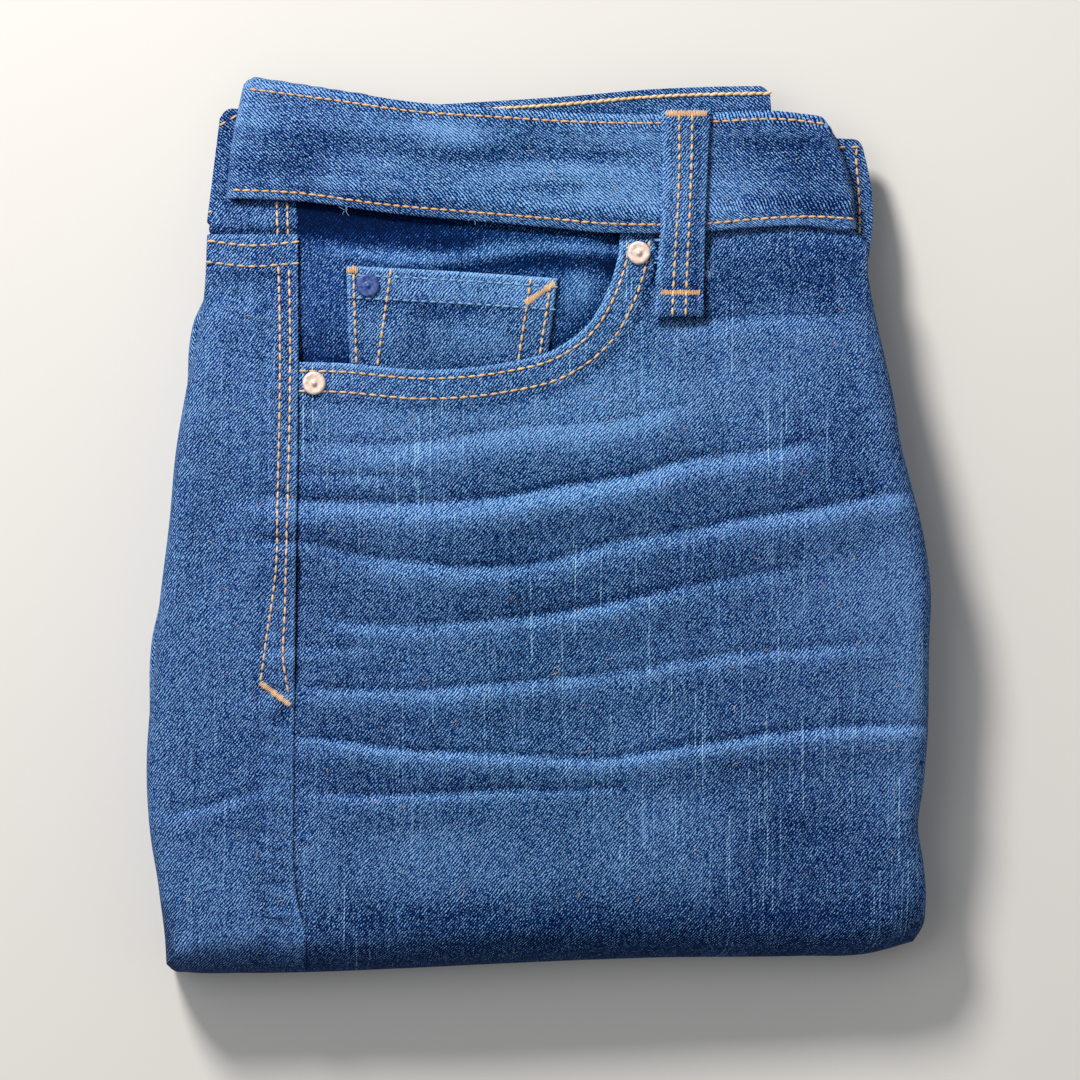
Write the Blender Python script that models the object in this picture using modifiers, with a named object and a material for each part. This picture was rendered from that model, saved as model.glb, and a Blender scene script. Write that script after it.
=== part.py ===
"""A folded pair of slim jeans, right side up, lying flat on its folded legs.

+X is to the right of the pair as it lies, +Y points at the waistband, +Z is up.
The flat underside is at z = 0. Tables and sizes below are in millimetres.
"""
import math

import bpy
import numpy as np

MM = 0.001
COLLECTION = "folded_jeans"
GAP = 0.3
SEAM_GAP = 0.5

# Wall thickness of each piece of cloth
PANEL_WALL = 1.4
FACING_WALL = 1.2
COIN_WALL = 1.2
BAND_WALL = 3.0
INNER_BAND_WALL = 2.6
LOOP_WALL = 2.2

# How far each fold rolls in from its silhouette, and how far down it reaches
SIDE_REACH = 7.0
SIDE_DEPTH = 10.0
WAIST_DEPTH = 3.6
END_REACH = 14.0
END_CLEAR = 3.0
ROLL_TURN = math.radians(114)
ROLL_STEPS = 5

# Height of the top cloth along the pair: (y, z)
HEIGHT_ALONG = [(-136, 36.5), (-110, 37.8), (-60, 38.3), (10, 38.0), (40, 36.8),
                (60, 34.6), (80, 31.2), (100, 26.8), (125, 21.5), (150, 17.2)]
MIDDLE_X = 2.0
PILLOW_HALF = 127.0
PILLOW_DROP = 3.0
CORNER_DROP = 2.6
CORNER_FROM = 120.0
CORNER_TO = 220.0

# Silhouettes seen from above
RIGHT_EDGE = [(-139.2, 125.5), (-134.7, 128.3), (-125.3, 129.3), (-111.3, 128.3), (-100.5, 126.6),
              (-87.8, 128.3), (-69.2, 129.8), (-40, 130.3), (-21, 130.8), (-4, 128.6), (12, 124.8),
              (27, 120.9), (42, 118.6), (67, 113.2), (83, 110.0), (96.5, 107.9), (100.5, 104.2),
              (106, 102.0)]
LEFT_EDGE = [(-146.8, -125.0), (-133, -125.8), (-119, -127.2), (-105, -129.5), (-78, -131.0),
             (-62, -130.0), (-49, -128.7), (-27, -126.8), (3.5, -123.2), (23, -121.5),
             (48, -117.4), (66, -113.9), (77, -112.0), (98, -110.9), (112, -109.8)]
HIDDEN_LEFT = [(-147.6, -125.6), (-133, -125.8), (-119, -127.2), (-105, -129.6), (-78, -131.1),
               (-60, -130.9), (-45, -130.8), (-37, -130.0), (-27, -127.8), (3.5, -123.4),
               (37.5, -119.2), (48.5, -118.3), (62, -117.6), (69, -116.2), (77.5, -112.4)]
BOTTOM_EDGE = [(-125.0, -146.8), (-122.8, -148.8), (-118.0, -149.5), (-99.7, -149.8), (-77, -149.5),
               (-45, -148.2), (-10, -146.5), (40, -144.6), (87, -144.1), (110.6, -143.2),
               (125.5, -139.2)]
OUTSEAM = [(-149.5, -77.8), (-132.5, -79.2), (-119, -81.0), (-87, -81.5), (-45, -81.1),
           (-11, -80.7), (23, -80.2), (64, -80.1), (107, -80.6)]
POCKET_EDGE = [(-79.9, 54.8), (-67, 54.5), (-36.5, 52.2), (-13.5, 54.2), (5.8, 59.4),
               (16.3, 67.5), (22.8, 78.8), (26, 88.5), (27.8, 99.5)]
BAND_BOTTOM = [(-104.6, 109.6), (-82.4, 108.6), (-51.8, 104.6), (-21.2, 101.9), (7, 99.5),
               (18, 98.4), (38, 97.8), (56.7, 98.2), (74.3, 99.8), (91.8, 100.5), (107.5, 99.6)]
BAND_TOP = [(-99, 149.8), (-67, 145.5), (-44, 142.2), (-10, 139.8), (5, 138.8), (36, 138.0),
            (58, 138.5), (81.7, 139.3), (97.5, 137.6)]
INNER_BAND_TOP = [(-92, 138.5), (-60, 140.0), (-21.6, 142.2), (13, 144.5), (36, 146.5), (59, 147.5),
                  (77.5, 147.8)]

# Folds across the panels. Each route is the y of its crest at these x stations.
STATIONS = (-80, -45, -10, 25, 60, 95, 130)
FOLDS = [
    # name, crest y at each station, crest, trough, upper width, lower width, from x, to x
    ("below_loop", (60, 60, 62, 64, 66.5, 68, 70), 1.7, 1.4, 6.5, 4.5, 38, 112),
    ("a", (24.0, 24.0, 29.0, 32.5, 39.0, 45, 51), 1.7, 1.5, 6.0, 4.0, -92, 54),
    ("b", (6.0, 5.0, 7.4, 13.5, 20.6, 25.5, 31), 3.0, 2.4, 7.0, 4.5, -104, 92),
    ("c", (-6.0, -12.3, -14.0, -7.0, -1.2, 4.3, 11.5), 2.2, 1.7, 6.0, 4.0, -72, 140),
    ("d", (-32.0, -34.7, -32.4, -26.8, -20.0, -15, -10), 1.6, 1.4, 5.5, 3.6, -68, 84),
    ("e", (-55.8, -56.2, -53.7, -50.5, -46.0, -43, -41), 1.7, 1.3, 5.5, 3.6, -90, 118),
    ("f", (-71.2, -76.2, -77.5, -78.2, -74.0, -69.2, -67.8), 2.4, 1.8, 4.5, 3.0, -86, 140),
    ("g", (-89.7, -90.5, -89.3, -88.5, -86, -83, -81), 1.6, 1.3, 4.5, 3.2, -79, 16),
]
BACK_STATIONS = (-130, -115, -100, -80)
BACK_FOLDS = [
    ("knee", (-98.5, -95.5, -91.6, -86.5), 2.0, 1.5, 5.5, 3.6, -132, -76),
    ("bartack", (-60, -59, -57.5, -57), 1.0, 1.5, 7.0, 4.0, -106, -70),
    ("seat", (70, 72, 74, 75), 0.9, 0.9, 7.0, 5.0, -120, -84),
]
FOLD_TAPER = 24.0
TROUGH_PLACE = 1.9
TROUGH_WIDTH = 1.2

# Raised seams
SEAM_RAISE = 0.9
SEAM_RAISE_WIDTH = 10.0
HEM_RAISE = 0.8
POCKET_HEM = 11.5
YOKE_EDGE_Y = 97.6
YOKE_LAP = 8.0
YOKE_FELL = 11.5
YOKE_DROP = 0.4
YOKE_LAP_DROP = 1.5
YOKE_END_DROP = 2.2
FELL_RAISE = 0.8
SEAM_DIP = 0.5
UNDER_BAND = 5.0
BAND_RAISE = 1.8
BAND_RIDGE = 0.5
BAND_RIDGE_WAVE = 13.0
BAND_ROLL_REACH = 4.0
BAND_ROLL_DROP = 4.6
BAND_ROLL_TURNS = (110, 80, 50, 25)
BAND_END_BULGE = 2.2
BAND_FOLD_BULGE = 1.0
DIP_FROM = -7.0
DIP_TO = -2.5

# The facing inside the pocket
FACING_DROP = 3.4
FACING_PUFF = 1.9
FACING_RIDGE = 1.0
FACING_RIDGE_Y = 89.0

# Coin pocket corners and hem
COIN_TOP = [(-64.3, 87.0), (-21.2, 84.7), (6.3, 82.8)]
COIN_LEFT_FOOT_X = -63.0
COIN_RIGHT_FOOT_X = 2.6
COIN_HEM = 10.7
COIN_HEM_RAISE = 0.6
COIN_TUCK = 4.0
COIN_REST = 0.25

# Belt loop: (y, left x, right x)
LOOP_SIDES = [(69.8, 38.3, 54.7), (77.8, 38.7, 54.9), (98.9, 40.3, 55.5), (119.2, 41.3, 56.3),
              (140.0, 40.6, 57.4)]
LOOP_ROWS_Y = (139.8, 138.6, 136, 130, 122, 113, 104, 100, 96, 91, 86, 81, 77.5, 74.5, 72, 70.5, 69.8)
LOOP_REST = 0.6
LOOP_FOLD_RAISE = 1.7
LOOP_END_DROP = 1.0
LOOP_TOP_DROP = 0.9

# Left half of the waistband, below the right half: corner x and y
LEFT_BAND_TOP = [(-107.2, 140.6), (-50, 137.5), (50, 133.0), (108.6, 129.8)]
LEFT_BAND_FOOT = [(-111.3, 102.0), (-50, 99.5), (50, 93.8), (110.4, 90.3)]
LEFT_BAND_DROP = 5.9
LEFT_BAND_END_DROP = 1.2

RIVET_RADIUS = 3.9
RIVET_HEIGHT = 1.5
RIVETS = {"rivet_side": (-74.9, 47.7), "rivet_waist": (33.3, 91.3), "rivet_coin": (-57.1, 80.4)}

# The hidden layers: height share, scallop in from the silhouette
LAYER_RINGS = [(0.0, 4.6), (0.05, 1.8), (0.16, 0.6), (0.27, 1.6), (0.335, 3.8), (0.40, 1.5),
               (0.50, 0.4), (0.60, 1.4), (0.665, 3.8), (0.73, 1.5), (0.84, 0.7), (0.95, 1.6), (1.0, 3.4)]
LOWER_LAYERS = 5
LEGS_END_Y = 75.0
WAIST_END_Y = 135.0
CORE_FOOT_Y = -146.0
CORE_SQUARENESS = 0.24
CORE_CLEAR = 0.9
CORE_LEFT_WAIST = [(112, -109.6), (140, -104.0)]
CORE_ROOF_RINGS = (0.86, 0.66, 0.42, 0.2)
CORE_HEART = (3.0, -8.0)
CORE_TOP_DROP = 5.3
CORE_WAIST_DROP = 11.2
RING_POINTS = 60

DENIM = (0.075, 0.15, 0.30)
DENIM_DARK = (0.045, 0.095, 0.20)
DENIM_PALE = (0.16, 0.26, 0.44)
COPPER = (0.72, 0.47, 0.36)
BLUE_PAINT = (0.10, 0.17, 0.40)


def ramp(value, low, high):
    """0 at low, 1 at high, smooth between."""
    share = np.clip((np.asarray(value, float) - low) / (high - low), 0.0, 1.0)
    return share * share * (3.0 - 2.0 * share)


def through(value, pairs):
    """A smooth curve through (place, level) pairs, held level past both ends."""
    places, levels = np.array(pairs, float).T
    slopes = np.gradient(levels, places)
    value = np.clip(np.asarray(value, float), places[0], places[-1])
    left = np.clip(np.searchsorted(places, value, side="right") - 1, 0, len(places) - 2)
    step = places[left + 1] - places[left]
    t = (value - places[left]) / step
    start = levels[left] * (1 + 2 * t) * (1 - t) ** 2 + slopes[left] * step * t * (1 - t) ** 2
    end = levels[left + 1] * t * t * (3 - 2 * t) - slopes[left + 1] * step * t * t * (1 - t)
    return start + end


def even_path(points, count):
    """count points, evenly spaced along the smooth curve through the given ones."""
    points = np.array(points, float)
    run = np.concatenate([[0], np.cumsum(np.hypot(*np.diff(points, axis=0).T))])
    fine = np.linspace(0, run[-1], 400)
    curve = np.stack([through(fine, np.stack([run, points[:, k]], axis=1)) for k in (0, 1)], axis=1)
    length = np.concatenate([[0], np.cumsum(np.hypot(*np.diff(curve, axis=0).T))])
    wanted = np.linspace(0, length[-1], count)
    return np.stack([np.interp(wanted, length, curve[:, k]) for k in (0, 1)], axis=1)


POCKET_LINE = even_path(POCKET_EDGE, 90)


def pocket_distance(x, y):
    """Distance from the pocket's edge, above zero on the open side."""
    x = np.asarray(x, float)[..., None]
    y = np.asarray(y, float)[..., None]
    apart = np.hypot(x - POCKET_LINE[:, 0], y - POCKET_LINE[:, 1])
    near = apart.argmin(axis=-1)
    along = np.gradient(POCKET_LINE, axis=0)[near]
    off_x = x[..., 0] - POCKET_LINE[near, 0]
    off_y = y[..., 0] - POCKET_LINE[near, 1]
    side = along[..., 0] * off_y - along[..., 1] * off_x
    return apart.min(axis=-1) * np.sign(side)


def top_height(x, y):
    """The top cloth without its folds: highest over the legs, low at the waist."""
    x, y = np.broadcast_arrays(np.asarray(x, float), np.asarray(y, float))
    pillow = PILLOW_DROP * np.clip(np.abs(x - MIDDLE_X) / PILLOW_HALF, 0, 1) ** 4
    corner = CORNER_DROP * ramp(x - 0.8 * y, CORNER_FROM, CORNER_TO)
    return through(y, HEIGHT_ALONG) - pillow - corner


def fold_relief(x, y, stations, folds):
    """Crests with a steep lower side and a trough under it."""
    x, y = np.broadcast_arrays(np.asarray(x, float), np.asarray(y, float))
    height = np.zeros(x.shape)
    for name, route, crest, trough, upper, lower, start, end in folds:
        above = y - through(x, list(zip(stations, route)))
        present = ramp(x, start, start + FOLD_TAPER) * (1 - ramp(x, end - FOLD_TAPER, end))
        width = np.where(above > 0, upper, lower)
        height += present * crest * np.exp(-(above / width) ** 2)
        under = (above + TROUGH_PLACE * lower) / (TROUGH_WIDTH * lower)
        height -= present * trough * np.exp(-under ** 2)
    return height


def under_band_dip(x, y):
    """How far a panel drops where the waistband laps over it."""
    return (BAND_RAISE - 0.1) * ramp(y - through(x, BAND_BOTTOM), DIP_FROM, DIP_TO)


def front_height(x, y):
    seam_dip = SEAM_DIP * (1 - ramp(x - through(y, OUTSEAM), 0, 4))
    away = -pocket_distance(x, y)
    hem = HEM_RAISE * (1 - ramp(away, POCKET_HEM - 3, POCKET_HEM + 2)) * (1 - ramp(y, 88, 97))
    folds = fold_relief(x, y, STATIONS, FOLDS) * (1 - 0.7 * (1 - ramp(away, 4, 16)))
    return top_height(x, y) + folds + hem - seam_dip - under_band_dip(x, y)


def back_height(x, y):
    from_seam = through(y, OUTSEAM) - np.asarray(x, float)
    raised = SEAM_RAISE * (1 - ramp(from_seam, SEAM_RAISE_WIDTH - 2, SEAM_RAISE_WIDTH + 2))
    fell = FELL_RAISE * ramp(y, YOKE_EDGE_Y - YOKE_FELL - 4, YOKE_EDGE_Y - YOKE_FELL)
    folds = fold_relief(x, y, STATIONS, FOLDS[1:7]) + fold_relief(x, y, BACK_STATIONS, BACK_FOLDS)
    return top_height(x, y) + folds + np.maximum(raised, fell)


def yoke_height(x, y):
    lapped = YOKE_LAP_DROP * (1 - ramp(y, YOKE_EDGE_Y - 0.5, YOKE_EDGE_Y + 3))
    drooped = YOKE_END_DROP * ramp(-x, 103, 111)
    dip = under_band_dip(x, y) * ramp(x, -104, -100)
    return top_height(x, y) - YOKE_DROP - lapped - drooped - dip


def facing_height(x, y):
    """Low under the front panel's edge, puffed in the open pocket, with one long fold."""
    opened = pocket_distance(x, y)
    ridge_y = FACING_RIDGE_Y + 6 * ramp(x, -70, 20)
    ridge = FACING_RIDGE * np.exp(-((y - ridge_y) / 3.5) ** 2) * ramp(x, -79, -60)
    puff = (FACING_PUFF + ridge) * ramp(opened, 1.0, 12.0)
    return top_height(x, y) - FACING_DROP + puff - 0.4 * under_band_dip(x, y)


def coin_height(x, y):
    below_top = through(x, COIN_TOP) - y
    hem = COIN_HEM_RAISE * (1 - ramp(below_top, COIN_HEM - 1, COIN_HEM + 0.5))
    return facing_height(x, y) + GAP + COIN_REST + COIN_WALL + hem


def band_height(x, y):
    foot, head = through(x, BAND_BOTTOM), through(x, BAND_TOP)
    share = np.clip((y - foot) / (head - foot), 0, 1)
    wave = 0.5 + 0.5 * np.sin(x / BAND_RIDGE_WAVE)
    ridge = BAND_RIDGE * np.exp(-((share - 0.52) / 0.16) ** 2) * wave
    return top_height(x, y) + BAND_RAISE + ridge


def left_band_height(x, y):
    """The left half's waistband, below the right half, with its ends drooping."""
    end = LEFT_BAND_END_DROP * ramp(np.abs(x), 104, 112)
    return top_height(x, y) - LEFT_BAND_DROP - end


def depth_at(y):
    """How much of a fold's end roll shows at this y: 0 on the sides, 1 round the bottom fold."""
    return 1 - ramp(y, -138, -106)


def fold_fall(shoulder, y):
    """How far a panel's roll reaches down: one leg on the sides, all of them at the bottom fold."""
    side = SIDE_DEPTH + (WAIST_DEPTH - SIDE_DEPTH) * float(ramp(y, 66, 86))
    return side + (shoulder - END_CLEAR - side) * float(depth_at(y))


def roll(point, target, shoulder, turn):
    """One point of the roll from a shoulder point out to its silhouette and under."""
    fall = fold_fall(shoulder, target[1])
    out = math.sin(turn)
    drop = fall * (1 - math.cos(turn)) / (1 - math.cos(ROLL_TURN))
    plan = point + (target - point) * out
    return np.array([plan[0], plan[1], shoulder - drop])


def new_object(name, vertices, faces, colour, roughness=0.85, metallic=0.0):
    mesh = bpy.data.meshes.new(name)
    mesh.from_pydata([tuple(v) for v in np.asarray(vertices) * MM], [], faces)
    mesh.validate()
    mesh.update()
    mesh.shade_smooth()
    obj = bpy.data.objects.new(name, mesh)
    bpy.data.collections[COLLECTION].objects.link(obj)
    obj.data.materials.append(material(name, colour, roughness, metallic))
    return obj


def material(name, colour, roughness, metallic):
    made = bpy.data.materials.new(name)
    made.use_nodes = True
    shader = made.node_tree.nodes["Principled BSDF"]
    shader.inputs["Base Color"].default_value = (*colour, 1)
    shader.inputs["Roughness"].default_value = roughness
    shader.inputs["Metallic"].default_value = metallic
    return made


def wall(obj, thickness):
    """Gives an open sheet its thickness, inwards from the face that shows."""
    solidify = obj.modifiers.new("wall", "SOLIDIFY")
    solidify.thickness = thickness * MM
    solidify.offset = -1
    solidify.use_rim = True


def grid_faces(rows, columns, flip=False):
    faces = []
    for i in range(rows - 1):
        for j in range(columns - 1):
            a = i * columns + j
            quad = (a, a + columns, a + columns + 1, a + 1)
            faces.append(quad[::-1] if flip else quad)
    return faces


def sheet(name, plan, height, colour, thickness, flip=False):
    """A sheet over a plan grid (rows, columns, xy), at the height of a function."""
    rows, columns = plan.shape[:2]
    z = height(plan[..., 0], plan[..., 1])
    vertices = np.dstack([plan, z]).reshape(-1, 3)
    obj = new_object(name, vertices, grid_faces(rows, columns, flip), colour)
    wall(obj, thickness)
    return obj


def between(first, last, shares):
    """Rows from one row of points to another."""
    return [first + (last - first) * share for share in shares]


def rolled_panel(name, rows, targets, height, colour, thickness, left_side):
    """A panel whose last column and last row roll over their silhouette.

    rows run from the waist down; targets hold one silhouette point for each edge point,
    along the last row from the seam to the corner and then up the last column.
    """
    plan = np.array(rows)
    count, columns = plan.shape[:2]
    z = height(plan[..., 0], plan[..., 1])
    vertices = list(np.dstack([plan, z]).reshape(-1, 3))
    edge = [(count - 1) * columns + j for j in range(columns)]
    edge += [i * columns + columns - 1 for i in range(count - 2, -1, -1)]
    faces = grid_faces(count, columns, flip=left_side)
    before = edge
    for step in range(1, ROLL_STEPS + 1):
        turn = ROLL_TURN * step / ROLL_STEPS
        ring = []
        for start, target in zip(edge, targets):
            point = vertices[start]
            ring.append(len(vertices))
            vertices.append(roll(point[:2], target, point[2], turn))
        for k in range(len(edge) - 1):
            quad = (before[k], ring[k], ring[k + 1], before[k + 1])
            faces.append(quad[::-1] if left_side else quad)
        before = ring
    obj = new_object(name, vertices, faces, colour)
    wall(obj, thickness)
    return obj


def side_row(y_at, columns, seam_gap, edge_pairs, sign):
    """One row of a panel from the outseam to where its side fold starts to roll."""
    x_start = 0.0
    x_end = 0.0
    for _ in range(6):
        x_start = float(through(y_at(x_start), OUTSEAM)) + seam_gap
        x_end = float(through(y_at(x_end), edge_pairs)) - sign * SIDE_REACH
    xs = x_start + (x_end - x_start) * np.linspace(0, 1, columns)
    return np.stack([xs, [float(y_at(x)) for x in xs]], axis=1)


def bottom_row(columns, seam_gap, corner, sign):
    """The last row before the bottom fold, and its silhouette points."""
    share = np.linspace(0, 1, columns)
    foot_x = float(through(-149.5, OUTSEAM)) + seam_gap
    inner_corner = np.array([corner[0] - sign * 8.5, corner[1] + 9.0])
    xs = foot_x + (inner_corner[0] - foot_x) * share
    lift = END_REACH + (inner_corner[1] - corner[1] - END_REACH) * share ** 6
    target_x = foot_x + (corner[0] - foot_x) * share
    target = np.stack([target_x, through(target_x, BOTTOM_EDGE)], axis=1)
    return np.stack([xs, through(target_x, BOTTOM_EDGE) + lift], axis=1), target


def side_targets(rows, edge_pairs, corner_y):
    """Silhouette points beside the last column, from the row above the corner up to the waist."""
    targets = []
    low = rows[-1][-1][1]
    for row in reversed(rows[:-1]):
        y = row[-1][1]
        y += (corner_y - low) * float(1 - ramp(y, low, low + 30))
        targets.append(np.array([float(through(y, edge_pairs)), y]))
    return targets


def fold_rows(folds, stations, make_row):
    """Guide rows that follow the crests: above, on and below each one."""
    rows = []
    for name, route, crest, trough, upper, lower, start, end in folds:
        crest_line = list(zip(stations, route))
        for offset in (upper, 0.45 * upper, 0.0, -0.9 * lower, -TROUGH_PLACE * lower):
            rows.append(make_row(lambda x, o=offset, line=crest_line: float(through(x, line)) + o))
    return rows


def front_panel():
    columns = 21
    gap = 0.5 * SEAM_GAP

    def make_row(y_at):
        return side_row(y_at, columns, gap, RIGHT_EDGE, 1)

    pocket_count = 14
    pocket = even_path(POCKET_EDGE[:-2] + [(26.3, 90.0)], pocket_count - 2)
    pocket = np.concatenate([pocket, [(27.2, 95.8), (27.8, 101.5)]])
    band_x = np.linspace(POCKET_EDGE[-1][0], 100.4, columns - pocket_count + 1)[1:]
    band = np.stack([band_x, through(band_x, BAND_BOTTOM) + UNDER_BAND - 0.6], axis=1)
    top = np.concatenate([pocket, band])
    across = np.zeros((columns, 2))
    tangent = np.gradient(top, axis=0)
    across[:, 0] = tangent[:, 1]
    across[:, 1] = -tangent[:, 0]
    across /= np.linalg.norm(across, axis=1)[:, None]
    straight = ramp(np.arange(columns), pocket_count - 5, pocket_count + 2)[:, None]
    across = across * (1 - straight) + np.array([0.0, -1.0]) * straight
    hem = [top + across * offset for offset in (0.0, 1.2, 6.0, 10.5, 13.5)]
    for row in hem:
        row[0, 0] = float(through(row[0, 1], OUTSEAM)) + gap
        row[-1, 0] = float(through(row[-1, 1], RIGHT_EDGE)) - SIDE_REACH
    folds = fold_rows(FOLDS[1:], STATIONS, make_row)
    rows = hem + between(hem[-1], folds[0], (0.25, 0.5, 0.75)) + folds
    last, bottom_targets = bottom_row(columns, gap, np.array([125.5, -139.2]), 1)
    rows += between(folds[-1], last, (0.25, 0.5, 0.75, 1.0))
    targets = list(bottom_targets) + side_targets(rows, RIGHT_EDGE, -139.2)
    rolled_panel("front_panel", rows, targets, front_height, DENIM, PANEL_WALL, False)


def back_panel():
    columns = 7
    gap = -0.5 * SEAM_GAP

    def make_row(y_at):
        return side_row(y_at, columns, gap, LEFT_EDGE, -1)

    heights = [YOKE_EDGE_Y, 96.0, 91.0, 86.5, 83.0]
    heights += list(np.arange(77.0, -84.0, -6.6))
    rows = [make_row(lambda x, y=y: y) for y in heights]
    knee = BACK_FOLDS[0]
    rows += fold_rows([knee], BACK_STATIONS, make_row)
    last, bottom_targets = bottom_row(columns, gap, np.array([-125.0, -146.8]), -1)
    rows += between(rows[-1], last, (0.2, 0.4, 0.6, 0.8, 1.0))
    targets = list(bottom_targets) + side_targets(rows, LEFT_EDGE, -146.8)
    rolled_panel("back_panel", rows, targets, back_height, DENIM_PALE, PANEL_WALL, True)


def back_yoke():
    rows = []
    for y in (YOKE_EDGE_Y - YOKE_LAP, 94.0, YOKE_EDGE_Y, 100.5, 103.5, 107.0, 113.0):
        start = float(through(y, OUTSEAM)) - 0.5 * SEAM_GAP
        tucked = 8.0 * (1 - float(ramp(y, YOKE_EDGE_Y - 0.5, YOKE_EDGE_Y + 1.5)))
        end = float(through(y, LEFT_EDGE)) + 0.4 + tucked
        xs = start + (end - start) * np.array([0, 0.2, 0.4, 0.6, 0.75, 0.86, 0.94, 1.0])
        head = through(xs, BAND_BOTTOM) - 0.5 + (UNDER_BAND + 0.5) * ramp(xs, -98, -94)
        lift = (head - 113.0) * ramp(y, 100, 113)
        rows.append(np.stack([xs, y + lift], axis=1))
    sheet("back_yoke", np.array(rows), yoke_height, DENIM_PALE, PANEL_WALL)


def pocket_facing():
    columns = 17
    rows = []
    for share in np.linspace(0, 1, 11):
        left = float(through(40 + 60 * share, OUTSEAM)) + 0.5 * SEAM_GAP
        xs = np.linspace(left, 42.0, columns)
        foot = np.interp(xs, [-80, 5, 42], [40.0, 44.0, 62.0])
        head = through(xs, BAND_BOTTOM) + UNDER_BAND
        rows.append(np.stack([xs, foot + (head - foot) * share], axis=1))
    sheet("pocket_facing", np.array(rows)[::-1], facing_height, DENIM, FACING_WALL)


def coin_pocket():
    columns = 13
    rows = []
    for share in (0.0, 0.04, 0.2, 0.32, 0.36, 0.55, 0.75, 0.88, 1.0):
        top_x = np.linspace(COIN_TOP[0][0], COIN_TOP[-1][0], columns)
        top_y = through(top_x, COIN_TOP)
        foot_x = np.linspace(COIN_LEFT_FOOT_X, COIN_RIGHT_FOOT_X, columns)
        foot_y = through(foot_x, POCKET_EDGE) - COIN_TUCK
        rows.append(np.stack([top_x + (foot_x - top_x) * share, top_y + (foot_y - top_y) * share], axis=1))
    sheet("coin_pocket", np.array(rows), coin_height, DENIM, COIN_WALL)


def edge_patch(foot, head, across, up):
    """A plan grid between a lower and an upper curve, each given as (x, y) pairs."""
    low = even_path(foot, across)
    high = even_path(head, across)
    return np.array([low + (high - low) * share for share in up])[::-1]


def waistband():
    """The outer waistband, with both ends rolled down over their folds."""
    columns = 30
    plan = edge_patch(BAND_BOTTOM, BAND_TOP, columns, (0, 0.04, 0.28, 0.5, 0.72, 0.96, 1.0))
    rows = plan.shape[0]
    share = np.linspace(0, 1, rows)[::-1]
    plan[:, -1, 0] += BAND_END_BULGE * np.sin(np.pi * share) - 1.5 * (1 - share)
    plan[:, 0, 0] -= BAND_FOLD_BULGE * np.sin(np.pi * share)
    centre = plan[:, columns // 2, 0][:, None]
    squeeze = 1 - BAND_ROLL_REACH / np.abs(plan[:, [0], 0] - centre)
    inner = plan.copy()
    inner[..., 0] = centre + (plan[..., 0] - centre) * squeeze
    z = band_height(inner[..., 0], inner[..., 1])
    left = []
    right = []
    whole_turn = 1 - math.cos(math.radians(BAND_ROLL_TURNS[0]))
    for turn in np.radians(BAND_ROLL_TURNS):
        for strips, column in ((left, 0), (right, -1)):
            out = inner[:, column] + (plan[:, column] - inner[:, column]) * math.sin(turn)
            drop = BAND_ROLL_DROP * (1 - math.cos(turn)) / whole_turn
            strips.append(np.column_stack([out, z[:, column] - drop]))
    right.reverse()
    body = np.dstack([inner, z])
    whole = np.concatenate([np.stack(left, axis=1), body, np.stack(right, axis=1)], axis=1)
    faces = grid_faces(rows, whole.shape[1])
    obj = new_object("waistband", whole.reshape(-1, 3), faces, DENIM)
    wall(obj, BAND_WALL)


def waistband_inner():
    """The right back half of the waistband, whose inner side shows above the front."""
    foot = [(x, float(through(x, BAND_BOTTOM)) + 13.0) for x in (-90, -50, 0, 40, 79.6)]
    plan = edge_patch(foot, INNER_BAND_TOP, 22, (0, 0.3, 0.6, 0.9, 1.0))

    def height(x, y):
        return top_height(x, y) + BAND_RAISE - BAND_WALL - GAP - 0.1

    sheet("waistband_inner", plan, height, DENIM_PALE, INNER_BAND_WALL)


def waistband_left():
    plan = edge_patch(LEFT_BAND_FOOT, LEFT_BAND_TOP, 26, (0, 0.05, 0.3, 0.6, 0.95, 1.0))
    sheet("waistband_left", plan, left_band_height, DENIM, BAND_WALL)


def belt_loop():
    rows = []
    for y in LOOP_ROWS_Y:
        left = float(through(y, [(a, b) for a, b, c in LOOP_SIDES]))
        right = float(through(y, [(a, c) for a, b, c in LOOP_SIDES]))
        xs = np.linspace(left, right, 5)
        rows.append(np.stack([xs, np.full(5, y)], axis=1))

    def height(x, y):
        over_band = ramp(y, through(x, BAND_BOTTOM) - 9, through(x, BAND_BOTTOM) - 1)
        bearer = top_height(x, y) + LOOP_REST + (BAND_RAISE - 0.3) * over_band
        folded_end = LOOP_FOLD_RAISE * (1 - ramp(y, 74, 80)) - LOOP_END_DROP * (1 - ramp(y, 69.8, 71.5))
        rolled_top = LOOP_TOP_DROP * ramp(y, 138.4, 139.8)
        return bearer + GAP + LOOP_WALL + folded_end - rolled_top

    sheet("belt_loop", np.array(rows), height, DENIM_PALE, LOOP_WALL)


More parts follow.
